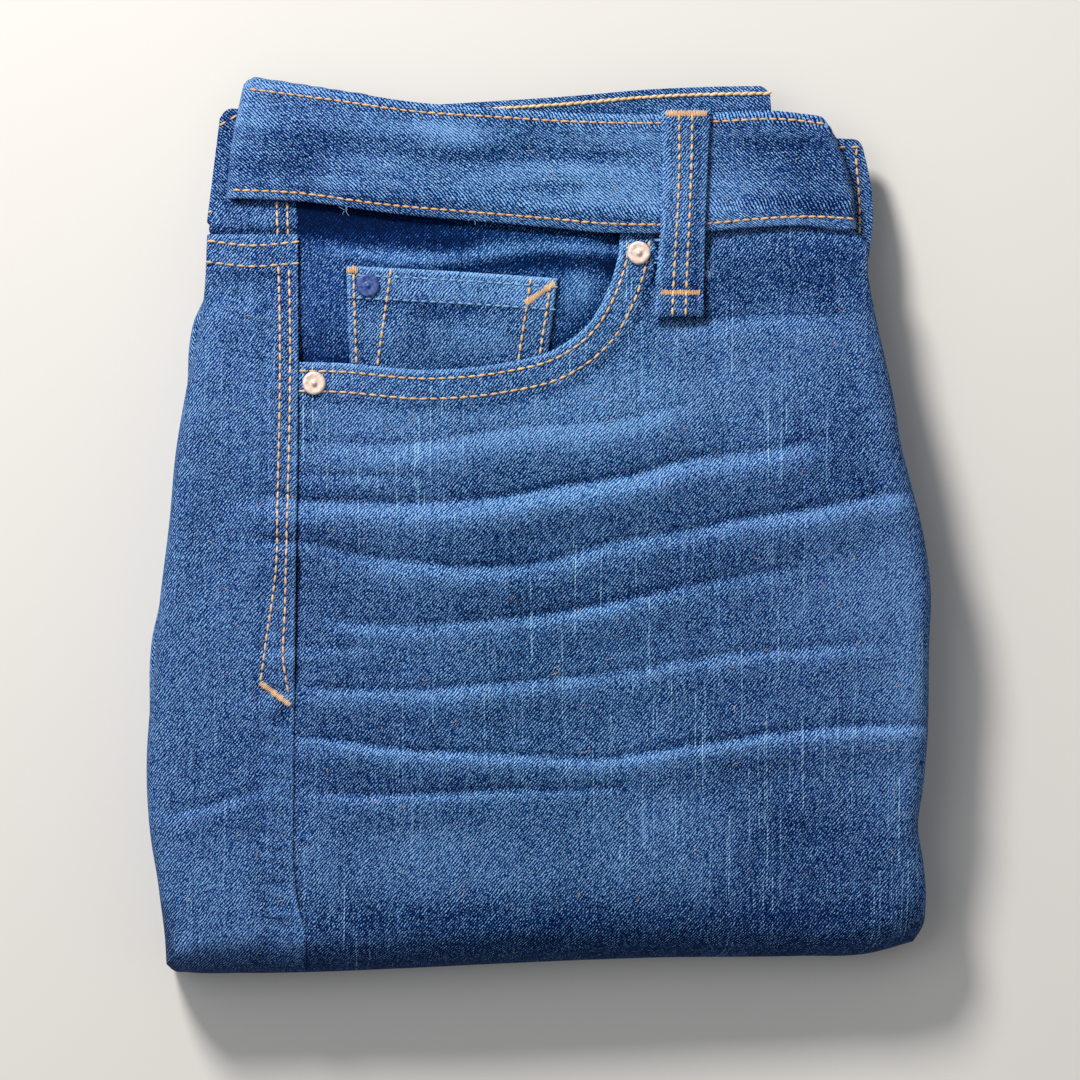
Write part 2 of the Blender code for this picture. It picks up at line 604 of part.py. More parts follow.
def rivet(name, place, surface):
    """A turned cap: a domed rim round a hollow with a small boss."""
    r, h = RIVET_RADIUS, RIVET_HEIGHT
    profile = [(0.0, 0.85 * h), (0.16 * r, 0.82 * h), (0.26 * r, 0.55 * h), (0.48 * r, 0.62 * h),
               (0.74 * r, h), (0.92 * r, 0.72 * h), (r, 0.2 * h), (0.97 * r, 0.0), (0.0, 0.0)]
    centre_x, centre_y = place
    turns = np.linspace(0, 2 * math.pi, 12, endpoint=False)
    rim = surface(centre_x + r * np.cos(turns), centre_y + r * np.sin(turns))
    seat = max(float(rim.max()), float(surface(centre_x, centre_y))) + 0.5 * GAP
    mesh = bpy.data.meshes.new(name)
    edges = [(i, i + 1) for i in range(len(profile) - 1)]
    mesh.from_pydata([(x * MM, 0, z * MM) for x, z in profile], edges, [])
    obj = bpy.data.objects.new(name, mesh)
    bpy.data.collections[COLLECTION].objects.link(obj)
    obj.location = (centre_x * MM, centre_y * MM, seat * MM)
    screw = obj.modifiers.new("turn", "SCREW")
    screw.steps = screw.render_steps = 16
    screw.use_merge_vertices = True
    screw.merge_threshold = 0.00001
    screw.use_normal_calculate = True
    paint = BLUE_PAINT if name == "rivet_coin" else COPPER
    obj.data.materials.append(material(name, paint, 0.4, 0.9))
    return obj


def core_outline(y_end, left_pairs, inset, level):
    """One closed ring of the hidden layers, anticlockwise from the right, at its height share."""
    turns = np.linspace(0, 2 * math.pi, RING_POINTS, endpoint=False)
    middle = 0.5 * (CORE_FOOT_Y + y_end)
    half = 0.5 * (y_end - CORE_FOOT_Y)
    ring = []
    for turn in turns:
        across = math.copysign(abs(math.cos(turn)) ** CORE_SQUARENESS, math.cos(turn))
        along = math.copysign(abs(math.sin(turn)) ** CORE_SQUARENESS, math.sin(turn))
        y = middle + half * along
        right = float(through(y, RIGHT_EDGE))
        left = float(through(y, left_pairs))
        x = 0.5 * (right + left) + 0.5 * (right - left) * across
        low = float(through(x, BOTTOM_EDGE))
        y += (low - CORE_FOOT_Y) * float(1 - ramp(y, CORE_FOOT_Y, -60))
        top = float(top_height(x, y))
        z = level(top, y)
        end_share = float(depth_at(y))
        fall = fold_fall(top, y)
        reach = SIDE_REACH + (END_REACH - SIDE_REACH) * end_share
        cosine = 1 - min(max((top - z) / fall, 0.0), 1.0) * (1 - math.cos(ROLL_TURN))
        rolled_in = reach * (1 - math.sqrt(max(0.0, 1 - cosine * cosine)))
        covered = 1.0 if z > top - fall else 0.0
        inward = max(inset, (rolled_in + PANEL_WALL + CORE_CLEAR) * covered)
        inward += CORE_CLEAR * end_share
        ring.append((x, y, z, inward))
    ring = np.array(ring)
    tangent = np.roll(ring[:, :2], -1, axis=0) - np.roll(ring[:, :2], 1, axis=0)
    normal = np.stack([tangent[:, 1], -tangent[:, 0]], axis=1)
    normal /= np.linalg.norm(normal, axis=1)[:, None]
    ring[:, :2] -= normal * ring[:, [3]]
    return ring[:, :3]


def hidden_layers():
    """The legs folded under and the left half: one rounded solid, layered at its edges."""
    rings = []
    left_pairs = HIDDEN_LEFT + CORE_LEFT_WAIST
    lower_top = LAYER_RINGS[LOWER_LAYERS - 1][0]
    for k, (share, inset) in enumerate(LAYER_RINGS):
        lower = k < LOWER_LAYERS
        y_end = LEGS_END_Y - 3.0 * abs(share - 0.2) / 0.2 if lower else WAIST_END_Y

        def level(top, y, share=share, lower=lower):
            body = share * (top - SIDE_DEPTH - 0.8)
            if lower:
                return body
            slack = float(ramp(y, LEGS_END_Y - 12, LEGS_END_Y + 24))
            base_share = (share - lower_top) / (1 - lower_top)
            waist = 0.8 + base_share * (top - CORE_WAIST_DROP - 1.2)
            return body + (waist - body) * slack

        rings.append(core_outline(y_end, left_pairs, inset, level))

    def roof(top, y):
        return top - CORE_TOP_DROP - (CORE_WAIST_DROP - CORE_TOP_DROP) * float(ramp(y, 62, 84))

    rings.append(core_outline(WAIST_END_Y, left_pairs, 4.4, lambda top, y: roof(top, y) - 1.6))
    rings.append(core_outline(WAIST_END_Y, left_pairs, 8.0, roof))
    outer = rings[-1]
    heart = np.array(CORE_HEART)
    for scale in CORE_ROOF_RINGS:
        flat = heart + (outer[:, :2] - heart) * scale
        z = [roof(float(top_height(x, y)), y) for x, y in flat]
        rings.append(np.column_stack([flat, z]))
    vertices = np.concatenate(rings)
    faces = []
    for k in range(len(rings) - 1):
        for j in range(RING_POINTS):
            a, b = k * RING_POINTS + j, k * RING_POINTS + (j + 1) % RING_POINTS
            faces.append((a, b, b + RING_POINTS, a + RING_POINTS))
    faces.append(tuple(range(RING_POINTS))[::-1])
    start = (len(rings) - 1) * RING_POINTS
    faces.append(tuple(range(start, start + RING_POINTS)))
    new_object("folded_legs", vertices, faces, DENIM_DARK)


def clear_scene():
    for obj in list(bpy.data.objects):
        bpy.data.objects.remove(obj)
    holder = bpy.data.collections.new(COLLECTION)
    bpy.context.scene.collection.children.link(holder)


def build():
    clear_scene()
    hidden_layers()
    waistband_left()
    waistband_inner()
    pocket_facing()
    coin_pocket()
    back_yoke()
    back_panel()
    front_panel()
    waistband()
    belt_loop()
    rivet("rivet_side", RIVETS["rivet_side"], front_height)
    rivet("rivet_waist", RIVETS["rivet_waist"], front_height)
    rivet("rivet_coin", RIVETS["rivet_coin"], coin_height)


build()
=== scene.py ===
import math

import bpy
import numpy as np
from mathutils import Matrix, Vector


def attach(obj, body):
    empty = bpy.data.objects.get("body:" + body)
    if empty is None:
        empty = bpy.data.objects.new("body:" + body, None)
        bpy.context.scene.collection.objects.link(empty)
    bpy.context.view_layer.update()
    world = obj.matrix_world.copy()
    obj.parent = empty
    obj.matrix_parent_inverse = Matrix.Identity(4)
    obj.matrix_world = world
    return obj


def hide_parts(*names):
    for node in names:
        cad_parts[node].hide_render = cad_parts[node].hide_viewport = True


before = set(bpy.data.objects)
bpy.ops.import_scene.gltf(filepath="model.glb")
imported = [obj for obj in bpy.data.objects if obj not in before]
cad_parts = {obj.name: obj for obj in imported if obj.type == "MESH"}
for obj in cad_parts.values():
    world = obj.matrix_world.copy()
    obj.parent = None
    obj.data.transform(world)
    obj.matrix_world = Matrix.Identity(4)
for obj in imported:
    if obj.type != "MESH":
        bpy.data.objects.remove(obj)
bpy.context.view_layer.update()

# Every table and size here is in millimetres, seen from above: x to the right, y to the waistband, z up.
mm = 0.001

# ---- plan lines and levels that the pieces share ----

pileShape = {
    "along": [(-136, 36.5), (-110, 37.8), (-60, 38.3), (10, 38.0), (40, 36.8), (60, 34.6), (80, 31.2),
              (100, 26.8), (125, 21.5), (150, 17.2)],
    "middleX": 2.0, "half": 127.0, "pillowDrop": 3.0, "cornerDrop": 2.6, "cornerFrom": 120, "cornerTo": 220,
    "sideReach": 7.0, "sideDepth": 10.0, "waistDepth": 3.6, "endReach": 14.0, "endClear": 3.0,
    "rollTurn": math.radians(114), "rollSteps": 14, "slopeStep": 1.6,
}
rightEdge = [(-139.2, 125.5), (-134.7, 128.3), (-125.3, 129.3), (-111.3, 128.3), (-100.5, 126.6),
             (-87.8, 128.3), (-69.2, 129.8), (-40, 130.3), (-21, 130.8), (-4, 128.6), (12, 124.8),
             (27, 120.9), (42, 118.6), (67, 113.2), (83, 110.0), (96.5, 107.9), (100.5, 104.2), (106, 102.0)]
leftEdge = [(-146.8, -125.0), (-133, -125.8), (-119, -127.2), (-105, -129.5), (-78, -131.0), (-62, -130.0),
            (-49, -128.7), (-27, -126.8), (3.5, -123.2), (23, -121.5), (48, -117.4), (66, -113.9),
            (77, -112.0), (98, -110.9), (112, -109.8)]
hiddenLeft = [(-147.6, -125.6), (-133, -125.8), (-119, -127.2), (-105, -129.6), (-78, -131.1), (-60, -130.9),
              (-45, -130.8), (-37, -130.0), (-27, -127.8), (3.5, -123.4), (37.5, -119.2), (48.5, -118.3),
              (62, -117.6), (69, -116.2), (77.5, -112.4), (112, -109.6), (140, -104.0)]
bottomEdge = [(-125.0, -146.8), (-122.8, -148.8), (-118.0, -149.5), (-99.7, -149.8), (-77, -149.5),
              (-45, -148.2), (-10, -146.5), (40, -144.6), (87, -144.1), (110.6, -143.2), (125.5, -139.2)]
outseam = [(-149.5, -77.8), (-132.5, -79.2), (-119, -81.0), (-87, -81.5), (-45, -81.1), (-11, -80.7),
           (23, -80.2), (64, -80.1), (107, -80.6)]
pocketEdge = [(-79.9, 54.8), (-67, 54.5), (-36.5, 52.2), (-13.5, 54.2), (5.8, 59.4), (16.3, 67.5),
              (22.8, 78.8), (26, 88.5), (27.8, 99.5)]
bandBottom = [(-104.6, 109.6), (-82.4, 108.6), (-51.8, 104.6), (-21.2, 101.9), (7, 99.5), (18, 98.4),
              (38, 97.8), (56.7, 98.2), (74.3, 99.8), (91.8, 100.5), (107.5, 99.6)]
bandTop = [(-99, 149.8), (-67, 145.5), (-44, 142.2), (-10, 139.8), (5, 138.8), (36, 138.0), (58, 138.5),
           (81.7, 139.3), (97.5, 137.6)]
innerBandTop = [(-92, 138.5), (-60, 140.0), (-21.6, 142.2), (13, 144.5), (36, 146.5), (59, 147.5), (77.5, 147.8)]
leftBandTop = [(-107.2, 140.6), (-50, 137.5), (50, 133.0), (108.6, 129.8)]
leftBandFoot = [(-111.3, 102.0), (-50, 99.5), (50, 93.8), (110.4, 90.3)]
loopSides = [(69.8, 38.3, 54.7), (77.8, 38.7, 54.9), (98.9, 40.3, 55.5), (119.2, 41.3, 56.3), (140.0, 40.6, 57.4)]
coinTop = [(-64.3, 87.0), (-21.2, 84.7), (6.3, 82.8)]
coinFootX = (-63.0, 2.6)

gap = 0.3
seamGap = 0.14
wall = {"panel": 1.4, "facing": 1.2, "coin": 1.2, "band": 3.0, "innerBand": 2.6, "loop": 2.2, "legs": 1.2}
pieces = {
    # node, wall, cloth; what shows, cut flat: width and length in metres, area in square metres; what it lies on
    "frontPanel": ("front_panel", "panel", "Front", 0.226, 0.268, 0.0540, ["back_panel", "folded_legs"]),
    "backPanel": ("back_panel", "panel", "Back", 0.066, 0.262, 0.0136, ["folded_legs"]),
    "backYoke": ("back_yoke", "panel", "Back", 0.031, 0.025, 0.00067, ["folded_legs"]),
    "pocketFacing": ("pocket_facing", "facing", "Facing", 0.123, 0.062, 0.0076, ["folded_legs"]),
    "coinPocket": ("coin_pocket", "coin", "Coin", 0.070, 0.034, 0.00238, ["pocket_facing"]),
    "waistband": ("waistband", "band", "Band", 0.222, 0.041, 0.0084, ["folded_legs"]),
    "waistbandInner": ("waistband_inner", "innerBand", "Band", 0.180, 0.035, 0.0049, ["folded_legs"]),
    "waistbandLeft": ("waistband_left", "band", "Tab", 0.224, 0.040, 0.0085, ["folded_legs"]),
    "beltLoop": ("belt_loop", "loop", "Loop", 0.0162, 0.071, 0.00112, ["waistband"]),
    "foldedLegs": ("folded_legs", "legs", "Hidden", 0.330, 0.360, 0.0948, []),
}

# Creases. Each pale slope faces the waist: y is its middle at the stations, with a sharp
# valley above it and a shadow below it.
creaseStations = (-80, -45, -10, 25, 60, 95, 130)
creases = [
    # middle y at each station, rise, slope width, valley, fall width, strength of worn pale with painted light and
    # shade, from x, to x
    ((60, 60, 62, 64, 66.5, 68, 70), 1.1, 6.5, 0.4, 9.0, 0.5, 30, 118),
    ((24.0, 24.0, 29.0, 32.5, 39.0, 45, 51), 1.5, 7.5, 0.2, 8.0, 0.7, -92, 62),
    ((15.0, 14.8, 13, 12, 12, 12, 12), 0.8, 4.5, 0.5, 5.0, 0.6, -88, -30),
    ((6.0, 5.0, 7.4, 13.5, 20.6, 25.5, 31), 2.9, 6.5, 0.8, 10.0, 1.0, -108, 104),
    ((-7.0, -14.3, -16.0, -8.6, -1.6, 4.3, 11.5), 2.1, 5.5, 1.0, 9.5, 0.85, -106, 140),
    ((-32.0, -34.7, -32.4, -26.8, -20.0, -15, -10), 1.6, 4.4, 0.8, 8.5, 0.8, -78, 92),
    ((-42.0, -42.5, -43, -43, -43, -43, -43), 0.7, 4.0, 0.6, 5.0, 0.5, -104, -44),
    ((-55.8, -56.2, -53.7, -50.5, -45.0, -42.5, -41), 1.4, 4.4, 0.8, 7.5, 0.65, -90, 122),
    ((-71.2, -76.2, -77.5, -78.2, -73.4, -69.0, -67.8), 2.1, 3.8, 0.9, 8.0, 1.1, -92, 140),
    ((-89.7, -90.5, -89.3, -88.5, -86, -83, -81), 1.2, 2.8, 0.8, 8.0, 0.8, -84, 40),
]
backStations = (-130, -115, -100, -80)
backCreases = [
    ((-98.5, -95.5, -91.6, -86.5), 1.1, 3.6, 0.6, 7.0, 0.6, -136, -78),
    ((-60, -59, -57.5, -57), 1.0, 5.0, 0.7, 7.0, 0.4, -112, -68),
    ((70, 72, 74, 75), 0.8, 6.0, 0.3, 8.0, 0.3, -124, -80),
]
creaseTaper = 26.0


def paired(x, y):
    return np.broadcast_arrays(np.asarray(x, float), np.asarray(y, float))


def ramp(value, low, high):
    share = np.clip((np.asarray(value, float) - low) / (high - low), 0.0, 1.0)
    return share * share * (3.0 - 2.0 * share)


def bump(value, width):
    return np.exp(-(np.asarray(value, float) / width) ** 2)


def spot(x, y, wide, high):
    return bump(np.hypot(x / wide, y / high), 1.0)


def through(value, pairs):  # smooth curve through (place, level) pairs
    places, levels = np.array(pairs, float).T
    slopes = np.gradient(levels, places)
    value = np.clip(np.asarray(value, float), places[0], places[-1])
    left = np.clip(np.searchsorted(places, value, side="right") - 1, 0, len(places) - 2)
    step = places[left + 1] - places[left]
    t = (value - places[left]) / step
    start = levels[left] * (1 + 2 * t) * (1 - t) ** 2 + slopes[left] * step * t * (1 - t) ** 2
    end = levels[left + 1] * t * t * (3 - 2 * t) - slopes[left + 1] * step * t * t * (1 - t)
    return start + end


def evenPath(points, count):
    points = np.array(points, float)
    run = np.concatenate([[0], np.cumsum(np.hypot(*np.diff(points, axis=0).T))])
    fine = np.linspace(0, run[-1], 1200)
    curve = np.stack([through(fine, np.stack([run, points[:, k]], axis=1)) for k in (0, 1)], axis=1)
    length = np.concatenate([[0], np.cumsum(np.hypot(*np.diff(curve, axis=0).T))])
    wanted = np.linspace(0, length[-1], count)
    return np.stack([np.interp(wanted, length, curve[:, k]) for k in (0, 1)], axis=1)


pocketLine = evenPath(pocketEdge, 240)
pocketRun = np.gradient(pocketLine, axis=0)


def pocketDistance(x, y):  # from the pocket's edge, positive on the open side
    x, y = paired(x, y)
    apart = np.hypot(x[..., None] - pocketLine[:, 0], y[..., None] - pocketLine[:, 1])
    near = apart.argmin(axis=-1)
    run = pocketRun[near]
    side = run[..., 0] * (y - pocketLine[near, 1]) - run[..., 1] * (x - pocketLine[near, 0])
    return apart.min(axis=-1) * np.sign(side)


def unevenness(x, y, seed, size):  # gentle waves of mixed length that stay the same each run
    x, y = np.asarray(x, float), np.asarray(y, float)
    draw = np.random.default_rng(seed)
    total = 0.0
    for _ in range(7):
        turn = draw.uniform(0, math.pi)
        wave = size * draw.uniform(0.6, 1.7)
        total = total + np.sin((x * math.cos(turn) + y * math.sin(turn)) / wave + draw.uniform(0, 6.28))
    return total / 3.0


def topHeight(x, y):
    x, y = paired(x, y)
    pillow = pileShape["pillowDrop"] * np.clip(np.abs(x - pileShape["middleX"]) / pileShape["half"], 0, 1) ** 4
    corner = pileShape["cornerDrop"] * ramp(x - 0.8 * y, pileShape["cornerFrom"], pileShape["cornerTo"])
    return through(y, pileShape["along"]) - pillow - corner


def creaseRelief(x, y, stations, table):
    x, y = paired(x, y)
    height, fade = np.zeros(x.shape), np.zeros(x.shape)
    for k, (route, rise, slope, valley, fall, pale, start, end) in enumerate(table):
        above = y - through(x, list(zip(stations, route))) - 0.45 * unevenness(x, 0 * x, 40 + k, 6.0)
        present = ramp(x, start, start + creaseTaper) * (1 - ramp(x, end - creaseTaper, end))
        present = present * (0.86 + 0.2 * unevenness(x, 0 * x, 60 + k, 15.0))  # uneven along its length
        up = 0.5 * slope
        crest = np.where(above > -up, 1 - ramp(above, -up, up), np.exp(-((above + up) / fall) ** 2))
        height += present * (rise * crest - valley * bump(above - up - 0.3, 1.2))
        below = up - above
        # worn pale and painted light from the top edge down, painted shade in the line above it and in the hollow under
        # the fall
        wornAndLit = ramp(below, -0.4, 1.4) * np.exp(-np.maximum(below - 0.55 * slope, 0) / (0.75 * slope))
        shade = 0.6 * bump(below, 1.0) + 0.5 * ramp(-below, -0.6, 1.0) * np.exp(-np.maximum(-below, 0) / 4.5)
        fade += present * pale * (wornAndLit - shade - 0.35 * bump(above + up + 0.8 * fall, 0.7 * fall))
    return height, fade


def areaTones(x, y, table):
    total = 0.0
    for middleX, middleY, wide, high, lean, amount in table:
        total = total + amount * spot(x - middleX, y - middleY - lean * (x - middleX), wide, high)
    return total


def bandDip(x, y):  # the band presses down what lies under it
    return 1.7 * ramp(y - through(x, bandBottom), -7.0, -2.5)


# Patches of wear, painted light and painted shade (a dark bottom fold, a lighter right edge): x, y, half width, half
# height, lean, pale above zero.
frontTones = [
    (10, 38, 70, 12, 0.16, 0.85), (98, 30, 22, 20, 0.0, -0.45), (104, -25, 18, 14, 0.0, 0.4),
    (85, 58, 32, 12, 0.1, 0.2), (60, 78, 14, 10, 0.0, -0.6), (105, -112, 40, 26, -0.1, -0.7),
    (-20, -22, 50, 8, 0.1, -0.3), (50, -8, 40, 6, 0.2, -0.3), (0, -64, 70, 6, 0.05, -0.2),
    (50, -100, 30, 14, 0.0, 0.4), (-45, -112, 30, 16, 0.0, 0.35), (0, -132, 130, 9, 0.0, -1.2),
    (112, -8, 14, 16, 0.0, 0.3), (-60, 38, 20, 10, 0.0, 0.4), (92, 86, 34, 12, 0.0, -1.0),
    (124, -50, 12, 50, 0.0, 1.0), (118, 36, 7, 40, -0.15, 0.7), (40, -22, 36, 5, 0.18, -0.25),
]
bandTones = [
    (-31, 132, 13, 7, 0.0, 0.9), (-53, 121.5, 12, 3, -0.1, 0.6), (-80, 125.5, 14, 8, 0.0, -0.6),
    (-15, 116.8, 18, 3, -0.05, 0.8), (10, 120, 22, 2.2, 0.0, 0.9), (18, 109.7, 15, 2.6, 0.05, 0.7),
    (-6, 128.6, 14, 5, 0.0, -0.6), (-22, 124, 12, 2.5, 0.0, -0.6), (20, 125.8, 18, 4, 0.0, -0.5),
    (34, 117.6, 8, 8, 0.0, 0.4), (66, 113, 13, 6, 0.1, 0.5), (72, 126, 16, 5, 0.0, -0.4),
    (-45, 110, 16, 3.5, -0.08, -0.5), (-96, 138, 8, 8, 0.0, 0.5), (-66, 115.5, 12, 2.5, -0.1, 0.5),
    (88, 118, 8, 12, 0.0, -0.3), (4, 113.3, 16, 1.6, 0.0, -0.6), (50, 106, 16, 3, 0.0, 0.4),
]
coinTones = [(-52, 64, 5, 8, 0.0, 0.6), (-20, 62, 14, 5, 0.05, 0.7), (-32, 71, 16, 3.5, 0.0, -0.7),
             (-8, 66, 4, 6, 0.0, -0.5)]
frontPanel = {
    "hemRaise": 0.8, "seamDip": 0.2, "pucker": 0.22, "puckerPitch": 6.6, "slump": 0.16, "columns": 150,
    "pocketShare": 0.62, "middleEnd": 113.0, "upperRows": 72, "lowerRows": 150,
    "underBand": 4.4, "pocketEnd": (27.4, 101.5), "bandEnd": 100.4,
    # rows of the pocket's hem, in from its edge
    "hemRows": (0, 0.35, 0.8, 1.5, 2.3, 3.0, 3.8, 4.8, 6.0, 7.2, 8.4, 9.2, 9.9, 10.7, 11.5, 12.4, 13.5),
}


def frontSurface(x, y):
    x, y = paired(x, y)
    fromSeam = x - through(y, outseam)
    away = -pocketDistance(x, y)
    hem = frontPanel["hemRaise"] * (1 - ramp(away, 8.5, 13.5)) * (1 - ramp(y, 88, 97))
    rounded = 0.55 * bump(away, 0.8) * (1 - ramp(y, 94, 97))
    groove = 0.22 * (bump(away - 3.0, 0.8) + bump(away - 9.7, 0.8)) * (1 - ramp(y, 94, 97))
    folds, fade = creaseRelief(x, y, creaseStations, creases)
    quiet = 1 - 0.7 * (1 - ramp(away, 4, 16))
    pucker = frontPanel["pucker"] * np.sin(away * 0.4 + (x * 0.8 - y * 0.6) * 2 * math.pi / frontPanel["puckerPitch"])
    pucker = pucker * bump(away - 6.5, 6.0) + 0.18 * np.sin(y * 0.95 + 0.8 * np.sin(y * 0.31)) * bump(fromSeam - 2, 6)
    slump = frontPanel["slump"] * unevenness(x, y, 3, 9.0) + 0.35 * unevenness(x, y, 5, 26.0)
    dimple = 0.7 * spot(x - 111, y - 15, 15, 4.5) + 0.7 * spot(x - 87, y + 101, 16, 9)
    seamDip = frontPanel["seamDip"] * (1 - ramp(fromSeam, 0, 3.4)) + 0.2 * bump(fromSeam, 0.9)
    height = (topHeight(x, y) + folds * quiet + hem + pucker * 0.8 + slump - dimple - rounded - groove - seamDip
              - bandDip(x, y))
    # pale worn pocket edge; painted shadow below the hem, painted shade along the seam and in the dimples; the puckers
    # are painted lighter on their crests and darker in their dips
    fade = fade * quiet + 1.3 * bump(away - 0.3, 1.2) * (1 - ramp(y, 94, 97))
    fade = fade - 0.7 * bump(away - 12.6, 2.0) + 0.3 * bump(away - 10.6, 0.8) - 0.4 * bump(fromSeam, 1.0)
    fade = fade - 0.7 * dimple + 0.16 * unevenness(x, y, 11, 14.0) + areaTones(x, y, frontTones) * quiet
    return height, fade + 0.35 * pucker


backPanel = {"seamRaise": 0.9, "seamLow": 0.35, "seamWidth": 10.0, "fellRaise": 0.8,
             "columns": 52, "rows": 175, "turnY": -126.0, "lowRows": 10}
yokeEdgeY = 97.6


def backSurface(x, y):
    x, y = paired(x, y)
    fromSeam = through(y, outseam) - x
    seamHigh, seamLow, seamWidth = backPanel["seamRaise"], backPanel["seamLow"], backPanel["seamWidth"]
    raised = (seamLow + (seamHigh - seamLow) * ramp(y, -60, -40)) * (1 - ramp(fromSeam, seamWidth - 2, seamWidth + 2))
    fell = backPanel["fellRaise"] * ramp(y, yokeEdgeY - 15.5, yokeEdgeY - 11.5)
    one, fadeShadeOne = creaseRelief(x, y, creaseStations, creases[1:8])
    two, fadeShadeTwo = creaseRelief(x, y, backStations, backCreases)
    edge = 0.4 * bump(fromSeam, 0.8) + 0.5 * bump(y - yokeEdgeY, 0.7)
    rows = (bump(fromSeam - 3.6, 0.8) + bump(fromSeam - seamOuter(y), 0.8)) * ramp(y, -54, -46)
    rows = rows + bump(y - yokeUpper(x), 0.8) + bump(y - yokeLower(x), 0.8)
    pucker = 0.28 * np.sin(y * 1.05 + 0.9 * np.sin(y * 0.23) - 0.25 * fromSeam) * bump(fromSeam - 6, 6.5)
    slump = 0.2 * unevenness(x, y, 4, 9.0) + 0.3 * unevenness(x, y, 6, 22.0)
    dimple = 1.1 * spot(x + 84.5, y + 63, 3.2, 3.0)
    height = topHeight(x, y) + one + two + np.maximum(raised, fell) - edge - 0.2 * rows + pucker + slump - dimple
    # pale worn edges at the seam and the yoke; puckers painted lighter on their crests and darker in their dips;
    # painted shade in the dimple and beyond the raised seam allowance; darker along y 84, where the fell rises
    fade = fadeShadeOne * 0.6 + fadeShadeTwo + 0.75 * bump(fromSeam - 0.6, 1.2) + 0.5 * bump(y - yokeEdgeY + 0.4, 1.2)
    fade = fade + 0.5 * pucker - 1.0 * dimple + 0.2 * unevenness(x, y, 12, 13.0) - 0.35 * bump(fromSeam - 12, 2.2)
    fade = fade - 0.5 * bump(y - 84, 2.4)
    return height, fade


def seamOuter(y):  # the outer stitch row, in from the outseam's edge
    return through(y, [(-51, 11.4), (-35, 9.4), (-24, 7.8), (-15, 6.8), (10, 6.6), (64, 6.2), (108, 7.1)])


def yokeUpper(x):
    return through(x, [(-111, 95.5), (-96, 93.8), (-81, 95.0)])


def yokeLower(x):
    return through(x, [(-111, 88.3), (-96, 86.8), (-81, 87.8)])


backYoke = {"lapped": 1.5, "drooped": 2.2, "tuck": 8.0, "sideTuck": 2.2, "head": 113.0, "rows": 26, "columns": 30}


def yokeSurface(x, y):
    lapped = backYoke["lapped"] * (1 - ramp(y, yokeEdgeY - 0.5, yokeEdgeY + 3))
    drooped = backYoke["drooped"] * ramp(-np.asarray(x, float), 103, 111)
    dip = bandDip(x, y) * ramp(x, -104, -100)
    wave = 0.12 * unevenness(x, y, 8, 7.0) - 0.5 * bump(x - through(y, outseam), 0.8)
    # painted shadow beside the back panel's top edge and painted shade under the waistband's lower edge; the whole yoke
    # is set a little darker
    fade = 0.2 * unevenness(x, y, 14, 9.0) - 0.4 - 0.8 * bump(y - yokeEdgeY - 1.2, 1.4)
    fade = fade - 0.5 * ramp(y - through(x, bandBottom), -3.4, -1.0) + 0.5 * bump(x - through(y, outseam), 1.2)
    return topHeight(x, y) - 0.4 - lapped - drooped - dip + wave, fade


facingRidge = [(-80, 94), (-60, 90.5), (-40, 88.8), (-15, 91.5), (5, 93), (22, 92.0), (45, 92)]
pocketFacing = {
    "sunk": 3.4, "puff": 1.9, "ridge": 1.7, "tucked": 2.6, "rows": 56, "columns": 90, "right": 42.0, "underBand": 5.0,
    "allowance": np.linspace(-9.0, -0.9, 7), "foot": ([-80, 5, 42], [40.0, 44.0, 62.0]),
}


def facingSurface(x, y):
    x, y = paired(x, y)
    opened = pocketDistance(x, y)
    ridgeY = through(x, facingRidge)
    ridge = pocketFacing["ridge"] * bump(y - ridgeY, 3.4) * ramp(x, -79, -60)
    puff = (pocketFacing["puff"] + ridge) * ramp(opened, 1.0, 12.0)
    tucked = pocketFacing["tucked"] * ramp(through(y, outseam) - x, 0.0, 7.0)  # allowance under the back panel
    wave = 0.16 * unevenness(x, y, 9, 8.0)
    # painted shade under the band, deepest to the left, where the cloth is also unfaded and darker; a painted highlight
    # along the ridge with painted shade below it, a painted shadow beside the pocket's edge, and a lighter patch right
    # of the coin pocket
    unfadedAndShaded = ramp(y - through(x, bandBottom), -15.0, -7.0) * (1 - 0.65 * ramp(x, -32, -8))
    fade = (1.0 + 0.5 * ramp(x, -34, -14)) * bump(y - ridgeY - 0.4, 2.4) * ramp(x, -79, -60)
    fade = fade - 1.0 * bump(y - ridgeY + 5.0, 2.8) * ramp(x, -66, -50) - 1.7 * unfadedAndShaded
    fade = fade + 0.3 * unevenness(x, y, 15, 10.0) - 0.7 * bump(opened - 1.0, 2.4) + 1.3 * spot(x - 15, y - 80, 7, 9)
    fade = fade + 0.5 * bump(y - ridgeY - 7.0 - 0.06 * (x + 60), 1.3) * ramp(x, -74, -60) * (1 - ramp(x, -30, -5))
    return topHeight(x, y) - pocketFacing["sunk"] + puff - tucked + wave - 0.4 * bandDip(x, y), fade


coinPocket = {"long": 34.0, "belowEdge": 4.0, "columns": 84,
              "shares": np.concatenate([[0, 0.012, 0.028], np.linspace(0.05, 1.0, 38)])}


